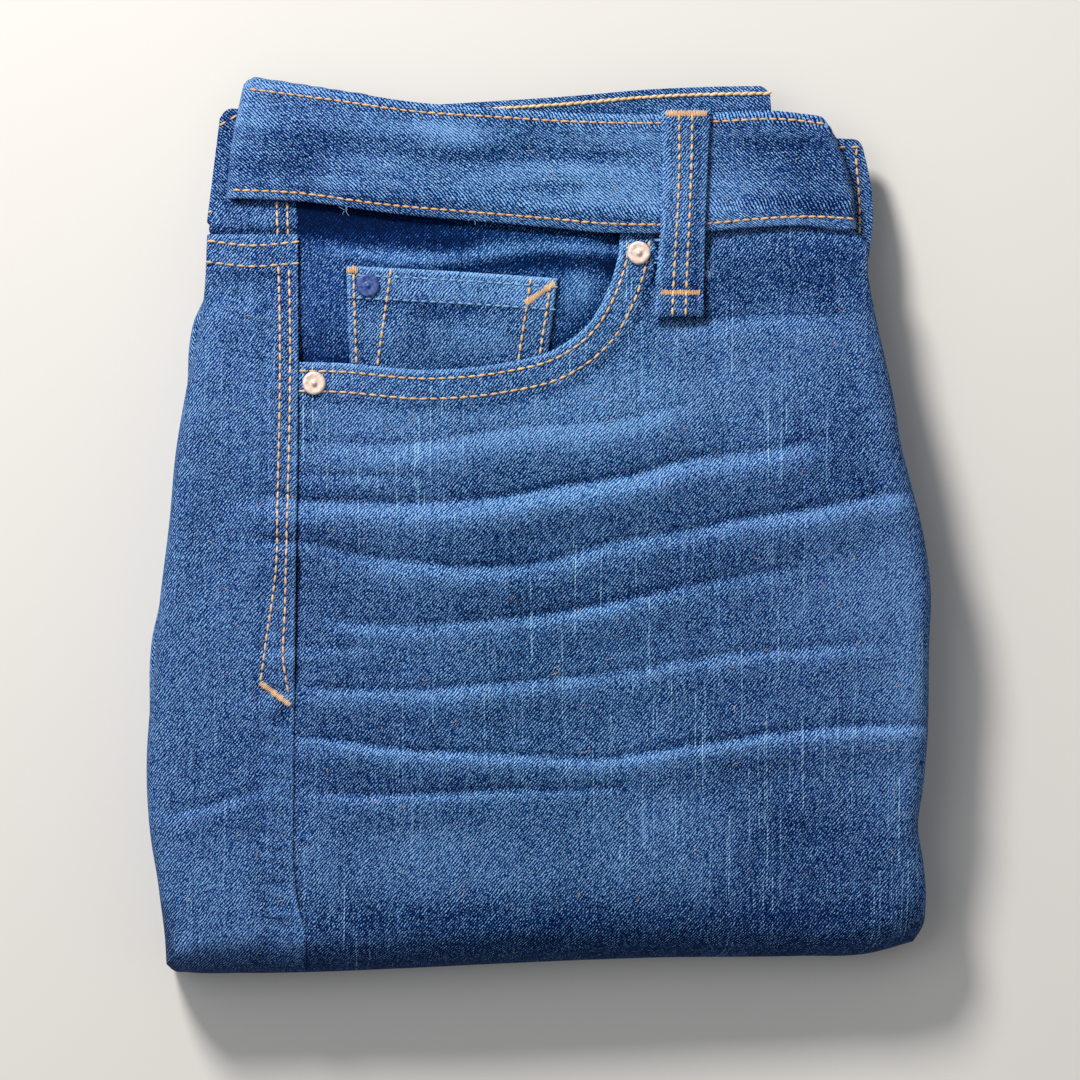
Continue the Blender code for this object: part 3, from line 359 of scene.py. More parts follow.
def coinSurface(x, y):
    x, y = paired(x, y)
    belowTop = through(x, coinTop) - y
    share = np.clip(belowTop / coinPocket["long"], 0, 1)
    left = coinTop[0][0] + (coinFootX[0] - coinTop[0][0]) * share
    right = coinTop[-1][0] + (coinFootX[1] - coinTop[-1][0]) * share
    hem = 0.6 * (1 - ramp(belowTop, 9.9, 11.4))
    rounded = 0.4 * (bump(belowTop, 0.7) + bump(x - left, 0.7) + bump(right - x, 0.7))
    grooves = 0.15 * (bump(belowTop - 3, 0.7) + bump(belowTop - 10.4, 0.6))
    wave = 0.14 * unevenness(x, y, 10, 7.0) + 0.2 * np.sin(x * 0.85 + np.sin(x * 0.2)) * bump(belowTop - 6, 5)
    # pale worn top edge, hem and sides; painted shadow below the hem and painted shade where the pocket runs under the
    # front panel's edge
    fade = 1.5 * bump(belowTop - 0.4, 0.9) + 0.65 * (1 - ramp(belowTop, 10.4, 11.4))
    fade = fade + 0.9 * (bump(x - left, 1.3) + bump(right - x, 1.3)) - 0.6 * bump(belowTop - 12, 1.6)
    fade = fade + 0.25 * unevenness(x, y, 16, 9.0) - 0.55 * ramp(-pocketDistance(x, y), -5.0, -1.0)
    height = facingSurface(x, y)[0] + gap + 0.25 + wall["coin"] + hem - rounded - grooves + wave
    return height, fade + areaTones(x, y, coinTones)


waistband = {
    "lift": 1.8, "ridge": 0.55, "corners": (2.0, 4.5), "columns": 190, "reach": 4.0, "drop": 4.6,
    "endBulge": 2.2, "endSlant": 1.5, "endColumns": 22, "foldBulge": 1.0, "foldColumns": 14,
    "rollSteps": 9, "rollFrom": 110, "rollTo": 12,  # degrees round the fold
    "shares": np.concatenate([[0, 0.012, 0.03], np.linspace(0.055, 0.945, 44), [0.97, 0.988, 1.0]]),
}


def bandSurface(x, y):
    x, y = paired(x, y)
    foot, head = through(x, bandBottom), through(x, bandTop)
    share = np.clip((y - foot) / (head - foot), 0, 1)
    ridge = waistband["ridge"] * bump(share - 0.52, 0.16) * (0.5 + 0.5 * np.sin(x / 13.0))
    rounded = 0.9 * (bump(y - foot, 0.9) + bump(head - y, 0.9))
    grooves = 0.32 * (bump(y - foot - 3.0, 0.8) + bump(head - y - 3.0, 0.8))
    pucker = 0.3 * np.sin(x * 0.9 + 1.1 * np.sin(x * 0.17) + 0.1 * y)
    pucker = pucker * (bump(y - foot - 5, 5) + bump(head - y - 5, 5))
    stretch = unevenness(x * 0.16, y, 25, 2.6)
    wave = 0.16 * unevenness(x * 0.35, y, 17, 5.0) + 0.14 * stretch
    height = topHeight(x, y) + waistband["lift"] + ridge - rounded - grooves + pucker + wave
    height = height + 0.35 * areaTones(x, y - 1.2, bandTones)
    # pale worn edges; the puckers are painted lighter on their crests and darker in their dips
    fade = 0.5 * stretch + 0.7 * (bump(y - foot - 0.9, 1.2) + bump(head - y - 0.9, 1.2)) + 0.5 * pucker
    fade = fade + 1.4 * areaTones(x, y, bandTones) + 0.25 * unevenness(x * 0.5, y, 18, 7.0)
    fade = fade - 0.3 * (bump(y - foot - 4.6, 1.4) + bump(head - y - 4.6, 1.4))
    return height, fade


innerBand = {
    "stations": (-90, -50, 0, 40, 79.6), "behind": 13.0, "columns": 150, "corners": (0.0, 4.0),
    "shares": np.concatenate([np.linspace(0, 0.9, 24), np.linspace(0.92, 1.0, 8)]),
}


def innerBandSurface(x, y):
    x, y = paired(x, y)
    # painted shadow just above the outer band's top edge
    fade = 0.3 * unevenness(x, y, 19, 6.0) - 0.6 * (1 - ramp(y - through(x, bandTop), 0.0, 2.0))
    rounded = 0.6 * bump(through(x, innerBandTop) - y, 0.9)
    level = waistband["lift"] - wall["band"] - gap - 0.1
    return topHeight(x, y) + level - rounded + 0.08 * unevenness(x, y, 20, 5.0), fade


leftBand = {
    "drop": 5.9, "droop": 1.2, "columns": 260, "corners": (4.5, 3.0), "endBulge": 2.3,
    "shares": np.concatenate([[0, 0.02], np.linspace(0.05, 0.88, 24), np.linspace(0.9, 1.0, 8)]),
}


def leftBandSurface(x, y):
    x, y = paired(x, y)
    drop = leftBand["drop"] + leftBand["droop"] * ramp(np.abs(x), 104, 112)
    fade = 0.3 * unevenness(x, y, 21, 7.0) + 0.5 * bump(np.abs(x) - 109.6, 1.2)
    return topHeight(x, y) - drop + 0.1 * unevenness(x, y, 22, 6.0), fade


beltLoop = {"raised": 1.5, "foldedEnd": 1.7, "columns": 21,
            "rows": np.concatenate([[139.8, 139.2], np.linspace(138.6, 70.4, 90), [70.1, 69.8]])}


def loopEdges(y):
    return through(y, [(a, b) for a, b, c in loopSides]), through(y, [(a, c) for a, b, c in loopSides])


def loopSurface(x, y):
    x, y = paired(x, y)
    left, right = loopEdges(y)
    overBand = ramp(y, through(x, bandBottom) - 9, through(x, bandBottom) - 1)
    foldedEnd = beltLoop["foldedEnd"] * (1 - ramp(y, 74, 80)) - 1.0 * (1 - ramp(y, 69.8, 71.5))
    rounded = 0.55 * (bump(x - left, 0.8) + bump(right - x, 0.8)) + 0.9 * ramp(y, 138.4, 139.8)
    middle = 0.5 * (left + right)
    crown = 0.25 * bump(x - middle, 3.5)
    pinch = 0.45 * (bump(y - 138.2, 1.0) + bump(y - 77.8, 1.0))
    height = topHeight(x, y) + 0.6 + beltLoop["raised"] * overBand + gap + wall["loop"]
    height = height + foldedEnd - rounded + crown - pinch
    # the left rim is painted lighter and the right side painted darker, as light falls from the upper left; both curled
    # edges are also worn pale
    fade = 0.8 * bump(x - left - 0.8, 1.4) + 0.6 * bump(right - x - 0.6, 1.1) + 0.3 * bump(x - middle, 2.6)
    fade = fade - 0.6 * bump(right - x - 3.0, 1.5)
    fade = fade + 0.5 * unevenness(x, y, 23, 8.0) - 0.5 * bump(y - 80.5, 1.6) + 0.5 * (1 - ramp(y, 72, 77))
    return height + 0.12 * unevenness(x, y, 24, 6.0), fade


# ---- building a shell from rows of points ----

violetDrift = {"middleX": 5.0, "width": 62.0}  # the blue turns to violet towards both sides


def placed(name, data):
    obj = bpy.data.objects.new(name, data)
    bpy.context.scene.collection.objects.link(obj)
    return obj


def gridFaces(rows, columns, flip=False):
    i, j = np.meshgrid(np.arange(rows - 1), np.arange(columns - 1), indexing="ij")
    a = (i * columns + j).ravel()
    quads = np.stack([a, a + columns, a + columns + 1, a + 1], axis=1)
    return quads[:, ::-1] if flip else quads


def makeShell(name, points, quads, uv, fade):
    node, wallName, clothName = pieces[name][:3]
    mesh = bpy.data.meshes.new(name)
    mesh.from_pydata((np.asarray(points) * mm).tolist(), [], np.asarray(quads).tolist())
    mesh.update()
    uvLayer = mesh.uv_layers.new(name="cloth")
    loopVertices = np.zeros(len(mesh.loops), int)
    mesh.loops.foreach_get("vertex_index", loopVertices)
    uvLayer.data.foreach_set("uv", (np.asarray(uv) * mm)[loopVertices].astype(np.float32).ravel())
    violet = 1.0 - bump(np.asarray(points)[:, 0] - violetDrift["middleX"], violetDrift["width"])
    # the first attribute holds worn paleness together with painted light and painted shade
    for label, values in (("fade", fade), ("violet", violet)):
        mesh.attributes.new(label, "FLOAT", "POINT").data.foreach_set("value", np.asarray(values, np.float32))
    mesh.shade_smooth()
    mesh.materials.append(denims[clothName])
    mesh.materials.append(cutEdges[clothName])
    obj = placed(name, mesh)
    solidify = obj.modifiers.new("wall", "SOLIDIFY")
    solidify.material_offset_rim = 1
    solidify.thickness = wall[wallName] * mm
    solidify.offset = -1
    solidify.use_rim = True
    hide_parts(node)
    return obj


def flatShell(name, plan, surface, turned=False):
    rows, columns = plan.shape[:2]
    z, fade = surface(plan[..., 0], plan[..., 1])
    points = np.dstack([plan, z]).reshape(-1, 3)
    uv = plan.reshape(-1, 2)
    if turned:
        uv = np.stack([-uv[:, 1], uv[:, 0]], axis=1)
    return makeShell(name, points, gridFaces(rows, columns), uv, np.ravel(fade))


def rolledShell(name, plan, targets, surface, leftSide, strip=None):
    # strip holds more rows above the first ones of plan, over its first columns
    rows, columns = plan.shape[:2]
    z, fade = surface(plan[..., 0], plan[..., 1])
    points = np.dstack([plan, z]).reshape(-1, 3)
    uv = plan.reshape(-1, 2).copy()
    fade = np.ravel(fade)
    edge = np.concatenate([(rows - 1) * columns + np.arange(columns),
                           np.arange(rows - 2, -1, -1) * columns + columns - 1])
    quads = [gridFaces(rows, columns, flip=leftSide)]
    start, before = points[edge], edge
    across = targets - start[:, :2]
    outward = across / np.linalg.norm(across, axis=1)[:, None]
    fall = foldFall(start[:, 2], targets[:, 1])
    # the roll starts with the slope of the cloth beside it, evened out along the edge
    inside = start[:, :2] - outward * pileShape["slopeStep"]
    slope = np.clip((surface(inside[:, 0], inside[:, 1])[0] - start[:, 2]) / pileShape["slopeStep"], 0.0, 0.25)
    slope = np.convolve(np.pad(slope, 3, mode="edge"), np.ones(7) / 7, mode="valid") * np.linalg.norm(across, axis=1)
    allPoints, allUv, allFadeShade = [points], [uv], [fade]
    last, run = start, np.zeros(len(edge))
    count = len(points)
    if strip is not None:
        stripRows, stripColumns = strip.shape[:2]
        stripZ, stripFadeShade = surface(strip[..., 0], strip[..., 1])
        allPoints.append(np.dstack([strip, stripZ]).reshape(-1, 3))
        allUv.append(strip.reshape(-1, 2))
        allFadeShade.append(np.ravel(stripFadeShade))
        ids = len(points) + np.arange(stripRows * stripColumns).reshape(stripRows, stripColumns)
        ids = np.vstack([ids, np.arange(stripColumns)[None]])
        quads.append(np.stack([ids[:-1, :-1], ids[1:, :-1], ids[1:, 1:], ids[:-1, 1:]], axis=2).reshape(-1, 4))
        count += stripRows * stripColumns
    turn0 = pileShape["rollTurn"]
    for step in range(1, pileShape["rollSteps"] + 1):
        turn = turn0 * step / pileShape["rollSteps"]
        drop = fall * (1 - math.cos(turn)) / (1 - math.cos(turn0))
        drop = drop + slope * math.sin(turn) * float(bump(turn, 0.6))
        ring = np.column_stack([start[:, :2] + across * math.sin(turn), start[:, 2] - drop])
        run = run + np.linalg.norm(ring - last, axis=1)
        last = ring
        ids = np.arange(count, count + len(edge))
        count += len(edge)
        allPoints.append(ring)
        allUv.append(uv[edge] + outward * run[:, None])
        # painted shade round the fold, deepest along the bottom
        shade = (0.15 + 1.45 * depthAt(targets[:, 1])) * ramp(step, 1, 8)
        allFadeShade.append(fade[edge] * (1 - ramp(step, 0, 9)) - shade)
        ringFaces = np.stack([before[:-1], ids[:-1], ids[1:], before[1:]], axis=1)
        quads.append(ringFaces[:, ::-1] if leftSide else ringFaces)
        before = ids
    return makeShell(name, *(np.concatenate(part) for part in (allPoints, quads, allUv, allFadeShade)))


def depthAt(y):  # from the sides' shallow fold at 0 to the bottom's full one at 1
    return 1 - ramp(y, -141, -122)


def foldFall(shoulder, y):  # how far the outer cloth comes down round the fold
    side = pileShape["sideDepth"] + (pileShape["waistDepth"] - pileShape["sideDepth"]) * ramp(y, 66, 86)
    return side + (shoulder - pileShape["endClear"] - side) * depthAt(y)


def sideRow(y, columns, seamOffset, edgePairs, sign):
    y = np.full(columns, float(y))
    start = through(y, outseam) + seamOffset
    end = through(y, edgePairs) - sign * pileShape["sideReach"]
    return np.stack([start + (end - start) * np.linspace(0, 1, columns), y], axis=1)


def bottomRow(columns, seamOffset, corner, sign):
    share = np.linspace(0, 1, columns)
    footX = float(through(-149.5, outseam)) + seamOffset
    innerCorner = np.array([corner[0] - sign * 8.5, corner[1] + 9.0])
    xs = footX + (innerCorner[0] - footX) * share
    lift = pileShape["endReach"] + (innerCorner[1] - corner[1] - pileShape["endReach"]) * share ** 6
    targetX = footX + (corner[0] - footX) * share
    targetY = through(targetX, bottomEdge)
    return np.stack([xs, targetY + lift], axis=1), np.stack([targetX, targetY], axis=1)


def rowsBetween(first, last, count):
    share = np.linspace(0, 1, count + 1)[1:, None, None]
    return first[None] + (last - first)[None] * share


def sideTargets(plan, edgePairs, cornerY):  # where the last column's roll comes out, from the bottom up
    y = plan[-2::-1, -1, 1]
    low = plan[-1, -1, 1]
    y = y + (cornerY - low) * (1 - ramp(y, low, low + 30))
    return np.stack([through(y, edgePairs), y], axis=1)


def straightPath(pairs, share):
    xs = pairs[0][0] + (pairs[-1][0] - pairs[0][0]) * share
    return np.stack([xs, through(xs, pairs)], axis=1)


def cornerFall(fromCorner, radius):
    if not radius:
        return 0.0 * fromCorner
    return 0.8 * radius * np.clip(1 - fromCorner / radius, 0, 1) ** 2.4


def edgePatch(foot, head, across, up, corners=(0.0, 0.0)):  # corners: rounding of the top left and top right
    share = np.linspace(0, 1, across)
    for radius, end in zip(corners, (0.0, 1.0)):
        close = np.abs(1 - np.cos(np.linspace(0, 0.5 * math.pi, 9))) * radius / abs(head[-1][0] - head[0][0])
        share = np.concatenate([share, abs(end - close[1:-1])]) if radius else share
    share = np.sort(share)
    low, high = straightPath(foot, share), straightPath(head, share)
    for radius, corner in zip(corners, (high[0, 0], high[-1, 0])):
        high[:, 1] -= cornerFall(np.abs(high[:, 0] - corner), radius)
    return np.array([low + (high - low) * part for part in up])[::-1]


def tightShares(count, margin):  # shares with closer rows at both edges
    share = np.linspace(0, 1, count)
    return share - margin * np.sin(2 * math.pi * share) / (2 * math.pi)


# ---- node trees ----

def newTree(name, kind, inputs, outputs):
    tree = bpy.data.node_groups.new(name, kind + "NodeTree")
    for label, socketKind, value in inputs:
        socket = tree.interface.new_socket(label, in_out="INPUT", socket_type="NodeSocket" + socketKind)
        if value is not None:
            socket.default_value = value
    for label, socketKind in outputs:
        tree.interface.new_socket(label, in_out="OUTPUT", socket_type="NodeSocket" + socketKind)
    return Wiring(tree), tree.nodes.new("NodeGroupInput").outputs, tree.nodes.new("NodeGroupOutput").inputs


class Wiring:  # short calls for the nodes of one tree
    def __init__(self, tree):
        self.tree = tree

    def link(self, value, socket):
        if isinstance(value, bpy.types.NodeSocket):
            self.tree.links.new(value, socket)
        else:
            socket.default_value = value

    def fill(self, node, inputs):
        for key, value in dict(inputs).items():
            self.link(value, node.inputs[key])
        return node.outputs

    def add(self, kind, inputs=(), **settings):  # makes a node and gives its outputs
        node = self.tree.nodes.new(kind)
        for key, value in settings.items():
            setattr(node, key, value)
        return self.fill(node, inputs)

    def math(self, operation, *values, clamp=False):
        return self.add("ShaderNodeMath", enumerate(values), operation=operation, use_clamp=clamp)[0]

    def times(self, a, b):
        return self.math("MULTIPLY", a, b)

    def timesPlus(self, a, b, c, clamp=False):
        return self.math("MULTIPLY_ADD", a, b, c, clamp=clamp)

    def stretch(self, vector, factors):
        return self.add("ShaderNodeVectorMath", {0: vector, 1: factors}, operation="MULTIPLY")[0]

    def noise(self, vector, scale, detail=2.0, rough=0.5):
        return self.add("ShaderNodeTexNoise", {"Vector": vector, "Scale": scale, "Detail": detail,
                                               "Roughness": rough})["Fac"]

    def cells(self, vector):  # a random tone and hue for each short length of yarn
        cell = self.add("ShaderNodeTexVoronoi", {"Vector": vector, "Scale": 1.0})["Color"]
        parts = self.add("ShaderNodeSeparateColor", {0: cell})
        return parts[0], parts[1]

    def dice(self, column, row):  # a random value for each place in a column
        place = self.add("ShaderNodeCombineXYZ", {0: column, 1: row})[0]
        return self.add("ShaderNodeTexWhiteNoise", {"Vector": place})["Value"]

    def spread(self, value, low, high, toLow=0.0, toHigh=1.0):
        return self.add("ShaderNodeMapRange", enumerate((value, low, high, toLow, toHigh)))[0]

    def mix(self, share, first, second):
        return self.add("ShaderNodeMix", {0: share, 6: first, 7: second}, data_type="RGBA", clamp_factor=True)[2]

    def objectPlace(self):
        return self.add("ShaderNodeTexCoord")["Object"]

    def relief(self, height, strength, distance):
        return self.add("ShaderNodeBump", {"Strength": strength, "Distance": distance * mm, "Height": height})["Normal"]


def colour(red, green, blue):  # from screen values 0 to 255
    shares = [c / 255 for c in (red, green, blue)]
    return (*[c / 12.92 if c <= 0.04045 else ((c + 0.055) / 1.055) ** 2.4 for c in shares], 1.0)


weave = {
    "lean": math.radians(50), "pitch": 0.84, "wander": 2.0, "fineWander": 0.7, "cells": (4.4, 2.5, 1.0),
    "slubPitch": 0.4, "slubReach": 30.0, "slubDrift": 2.0, "warpTone": 0.3, "fineWarp": 0.26, "mottle": 0.34,
    "fineMottle": 0.12,
}


def buildDenimGroup():
    w, given, out = newTree("denimWeave", "Shader", [
        ("Cloth", "Vector", None), ("Fade", "Float", 0.0), ("Deep", "Color", colour(0, 16, 50)),
        ("Middle", "Color", colour(0, 77, 148)), ("Violet Middle", "Color", colour(18, 70, 153)),
        ("Pale", "Color", colour(158, 183, 232)), ("Pale Cool", "Color", colour(118, 190, 228)),
        ("Slub Colour", "Color", colour(168, 214, 238)), ("Violet", "Float", 0.0), ("Level", "Float", 0.42),
        ("Slub", "Float", 1.0), ("Fade_and_shade Gain", "Float", 0.2), ("Twill Pitch", "Float", weave["pitch"]),
        ("Specks", "Float", 1.0)], [("Colour", "Color"), ("Height", "Float"), ("Roughness", "Float")])
    inMm = w.stretch(given["Cloth"], (1000.0, 1000.0, 1000.0))
    parts = w.add("ShaderNodeSeparateXYZ", {0: inMm})
    x, y = parts["X"], parts["Y"]

    def drift(factors, scale, detail, rough=0.5):  # noise about zero
        return w.math("SUBTRACT", w.noise(w.stretch(inMm, factors) if factors else inMm, scale, detail, rough), 0.5)

    across = w.math("SUBTRACT", w.times(x, math.sin(weave["lean"])), w.times(y, math.cos(weave["lean"])))
    phase = w.math("DIVIDE", across, given["Twill Pitch"])
    phase = w.timesPlus(w.noise(inMm, 0.1, 2.0), weave["wander"], phase)
    phase = w.timesPlus(w.noise(inMm, 0.8, 1.0), weave["fineWander"], phase)
    twill = w.timesPlus(w.math("COSINE", w.times(phase, 2 * math.pi)), 0.5, 0.5)
    yarnTone, yarnHue = w.cells(w.stretch(inMm, weave["cells"]))
    tone = w.math("POWER", yarnTone, 1.5)
    speck = w.times(w.timesPlus(twill, 0.9, 0.1), w.timesPlus(tone, 1.4, 0.36))
    sideways = w.timesPlus(w.noise(inMm, 0.016, 1.0), weave["slubDrift"], x)
    column = w.math("FLOOR", w.math("DIVIDE", sideways, weave["slubPitch"]))
    reach = w.math("FLOOR", w.timesPlus(y, 1 / weave["slubReach"], w.times(column, 0.37)))
    slubs = w.math("POWER", w.spread(w.dice(column, reach), 0.88, 1.0), 2.0)
    slubArea = w.spread(w.noise(w.stretch(inMm, (0.02, 0.012, 1.0)), 1.0, 1.0), 0.36, 0.56)
    slubBreak = w.spread(w.noise(w.stretch(inMm, (1.2, 0.25, 1.0)), 1.0, 2.0), 0.36, 0.58)
    slub = w.times(w.times(slubs, slubBreak), w.times(slubArea, given["Slub"]))
    slub = w.times(slub, w.timesPlus(twill, 0.6, 0.4))
    # worn paleness with painted light and painted shade, from the mesh, sets the yarn value
    value = w.timesPlus(given["Fade"], given["Fade_and_shade Gain"], given["Level"])
    gain = w.times(given["Specks"], w.timesPlus(value, 0.8, 0.84))
    value = w.timesPlus(w.math("SUBTRACT", speck, 0.5), gain, value)
    for part, amount in (
            (slub, 1.25), (drift((0.9, 0.02, 1.0), 1.0, 2.0), weave["warpTone"]),
            (drift((2.3, 0.03, 1.0), 1.0, 1.0), weave["fineWarp"]), (drift(None, 0.09, 3.0, 0.6), weave["mottle"]),
            (drift(None, 0.5, 2.0, 0.6), weave["fineMottle"])):
        value = w.timesPlus(part, amount, value)
    hueDrift = w.spread(w.noise(inMm, 0.03, 2.0), 0.35, 0.7)
    middle = w.mix(w.timesPlus(hueDrift, 0.4, given["Violet"], clamp=True), given["Middle"], given["Violet Middle"])
    lowMix = w.mix(w.math("MULTIPLY", value, 2.0, clamp=True), given["Deep"], middle)
    light = w.mix(w.times(yarnHue, 0.9), given["Pale"], given["Pale Cool"])
    light = w.mix(w.math("MULTIPLY", slub, 1.4, clamp=True), light, given["Slub Colour"])
    w.link(w.mix(w.timesPlus(value, 2.0, -1.0, clamp=True), lowMix, light), out["Colour"])
    w.link(w.timesPlus(slub, 0.3, w.timesPlus(tone, 0.4, w.times(twill, 0.6))), out["Height"])
    w.link(w.spread(value, 0.0, 1.0, 0.95, 0.8), out["Roughness"])
    return w.tree


denimGroup = buildDenimGroup()


def principled(name):
    made = bpy.data.materials.new(name)
    made.use_nodes = True
    return made, made.node_tree.nodes["Principled BSDF"], Wiring(made.node_tree)


def denimMaterial(name, level=0.42, slub=1.0, pitch=weave["pitch"], specks=1.0, pale=None, edge=False):
    made, shader, w = principled(name)
    if edge:  # a cut edge stands upright, so its cloth is laid out by place
        parts = w.add("ShaderNodeSeparateXYZ", {0: w.objectPlace()})
        cloth = w.add("ShaderNodeCombineXYZ", {0: w.math("ADD", parts["X"], parts["Z"]),
                                               1: w.math("ADD", parts["Y"], parts["Z"])})[0]
    else:
        cloth = w.add("ShaderNodeUVMap", uv_map="cloth")["UV"]
    looks = {"Cloth": cloth, "Level": level, "Fade_and_shade Gain": 0.3, "Slub": slub, "Twill Pitch": pitch, "Specks": specks}
    for label in ("Fade", "Violet"):
        looks[label] = w.add("ShaderNodeAttribute", attribute_name=label.lower())["Fac"]
    if pale:
        looks["Pale"] = pale
    yarns = w.add("ShaderNodeGroup", looks, node_tree=denimGroup)
    w.fill(shader, {"Base Color": yarns["Colour"], "Roughness": yarns["Roughness"],
                    "Normal": w.relief(yarns["Height"], 0.8, 0.22), "Sheen Weight": 0.03, "Sheen Roughness": 0.5,
                    "Sheen Tint": (0.4, 0.6, 1.0, 1), "Specular IOR Level": 0.07})
    return made


def threadMaterial(name, main, shade):
    made, shader, w = principled(name)
    place = w.objectPlace()
    strand = w.spread(w.noise(w.stretch(place, (2600.0, 2600.0, 900.0)), 1.0, 2.0), 0.35, 0.65)
    worn = w.spread(w.noise(place, 130.0, 2.0), 0.4, 0.7)
    w.fill(shader, {"Base Color": w.mix(w.timesPlus(strand, 0.6, w.times(worn, 0.4)), shade, main),
                    "Normal": w.relief(strand, 0.5, 0.08), "Roughness": 0.6, "Sheen Weight": 0.2})
    return made


def metalMaterial(name, main, worn, metallic, roughness):
    made, shader, w = principled(name)
    place = w.objectPlace()
    rub = w.spread(w.noise(place, 900.0, 3.0), 0.42, 0.62)
    w.fill(shader, {"Base Color": w.mix(rub, main, worn), "Metallic": metallic,
                    "Roughness": w.spread(rub, 0.0, 1.0, roughness, roughness + 0.18),
                    "Normal": w.relief(w.noise(place, 1600.0, 3.0), 0.12, 0.05)})
    return made


denimLooks = {
    "Front": {"level": 0.445},
    "Back": {"level": 0.465, "slub": 0.4, "pale": colour(154, 178, 226)},
    "Band": {"level": 0.435, "slub": 0.4, "pitch": 0.8},
    # the facing is set darker: its cloth is unfaded, and it is painted in shade under the band
    "Facing": {"level": 0.27, "slub": 0.3, "specks": 0.75},
    "Coin": {"level": 0.445, "slub": 0.5},
    "Loop": {"level": 0.415, "slub": 0.2},
    "Hidden": {"level": 0.41, "slub": 0.4},
    "Tab": {"level": 0.30, "slub": 0.4},
}
denims = {label: denimMaterial("denim" + label, **look) for label, look in denimLooks.items()}
cutEdges = {label: denimMaterial("edge" + label, edge=True, **{**look, "slub": 0.0})
            for label, look in denimLooks.items()}
threadColours = {
    "peach": ((242, 208, 172), (206, 156, 112)), "tan": ((238, 204, 156), (196, 146, 94)),
    "orange": ((238, 196, 138), (200, 140, 82)), "cream": ((246, 220, 176), (206, 164, 112)),
    "cyan": ((150, 196, 226), (84, 136, 186)),
}
threads = {label: threadMaterial("thread" + label.capitalize(), colour(*main), colour(*shade))
           for label, (main, shade) in threadColours.items()}
print("materials ready")

# ---- the cloth ----


def makeFrontPanel():
    columns, seam = frontPanel["columns"], 0.5 * seamGap
    pocketColumns, tuck = int(columns * frontPanel["pocketShare"]), frontPanel["underBand"]
    pocket = evenPath(pocketEdge[:-1] + [frontPanel["pocketEnd"]], pocketColumns)
    tangent = np.gradient(pocket, axis=0)
    across = np.stack([tangent[:, 1], -tangent[:, 0]], axis=1)
    across /= np.linalg.norm(across, axis=1)[:, None]
    strip = np.array([pocket + across * offset for offset in frontPanel["hemRows"]])
    strip[:, 0, 0] = through(strip[:, 0, 1], outseam) + seam
    top = np.minimum(strip[:, :, 1], through(strip[:, :, 0], bandBottom) + tuck)
    strip[:, :, 1] = np.where(strip[:, :, 0] > 20, top, strip[:, :, 1])
    bandX = np.linspace(strip[-1, -1, 0], frontPanel["bandEnd"], columns - pocketColumns + 1)[1:]
    firstRow = np.concatenate([strip[-1], np.stack([bandX, through(bandX, bandBottom) + tuck], axis=1)])
    index = np.arange(columns)

    xs = np.linspace(-80.2 + seam, frontPanel["middleEnd"], columns)
    middle = np.stack([xs, through(xs, list(zip(creaseStations, creases[3][0]))) + 5.0], axis=1)
    last, bottomTargets = bottomRow(columns, seam, bottomEdge[-1], 1)
    upper = rowsBetween(firstRow, middle, frontPanel["upperRows"])
    lower = rowsBetween(middle, last, frontPanel["lowerRows"])
    for block, keep in ((upper, 1.0), (lower, 1 - ramp(np.arange(len(lower)), len(lower) * 0.8, len(lower) - 1))):
        block[:, 0, 0] = through(block[:, 0, 1], outseam) + seam
        shift = (through(block[:, -1, 1], rightEdge) - pileShape["sideReach"] - block[:, -1, 0]) * keep
        block[:, :, 0] += shift[:, None] * ramp(index, columns * 0.5, columns - 1)[None, :]
    main = np.concatenate([firstRow[None], upper, lower])
    targets = np.concatenate([bottomTargets, sideTargets(main, rightEdge, bottomEdge[-1][1])])
    return rolledShell("frontPanel", main, targets, frontSurface, False, strip[:-1])


def makeBackPanel():
    columns, seam = backPanel["columns"], -0.5 * seamGap
    heights = np.concatenate([[yokeEdgeY, 97.2, 96.7], np.linspace(96.0, backPanel["turnY"], backPanel["rows"])])
    plan = [sideRow(y, columns, seam, leftEdge, -1) for y in heights]
    last, bottomTargets = bottomRow(columns, seam, bottomEdge[0], -1)
    plan = np.concatenate([np.array(plan), rowsBetween(plan[-1], last, backPanel["lowRows"])])
    targets = np.concatenate([bottomTargets, sideTargets(plan, leftEdge, bottomEdge[0][1])])
    return rolledShell("backPanel", plan, targets, backSurface, True)


def makeBackYoke():
    rows, head = [], backYoke["head"]
    for y in np.linspace(yokeEdgeY - backYoke["tuck"], head, backYoke["rows"]):
        start = float(through(y, outseam)) - 0.5 * seamGap
        tucked = backYoke["sideTuck"] * (1 - float(ramp(y, yokeEdgeY - 0.5, yokeEdgeY + 0.8)))
        end = float(through(y, leftEdge)) + 0.4 + tucked
        xs = start + (end - start) * np.linspace(0, 1, backYoke["columns"])
        top = through(xs, bandBottom) - 0.5 + 5.5 * ramp(xs, -98, -94)
        rows.append(np.stack([xs, y + (top - head) * ramp(y, 100, head)], axis=1))
    return flatShell("backYoke", np.array(rows), yokeSurface)


def makePocketFacing():
    rows = []
    for share in np.linspace(0, 1, pocketFacing["rows"]):
        left = float(through(40 + 60 * share, outseam)) + 0.5 * seamGap
        shown = np.linspace(left, pocketFacing["right"], pocketFacing["columns"])
        xs = np.concatenate([left + pocketFacing["allowance"], shown])
        foot = np.interp(xs, *pocketFacing["foot"])
        head = through(xs, bandBottom) + pocketFacing["underBand"]
        rows.append(np.stack([xs, foot + (head - foot) * share], axis=1))
    return flatShell("pocketFacing", np.array(rows)[::-1], facingSurface)


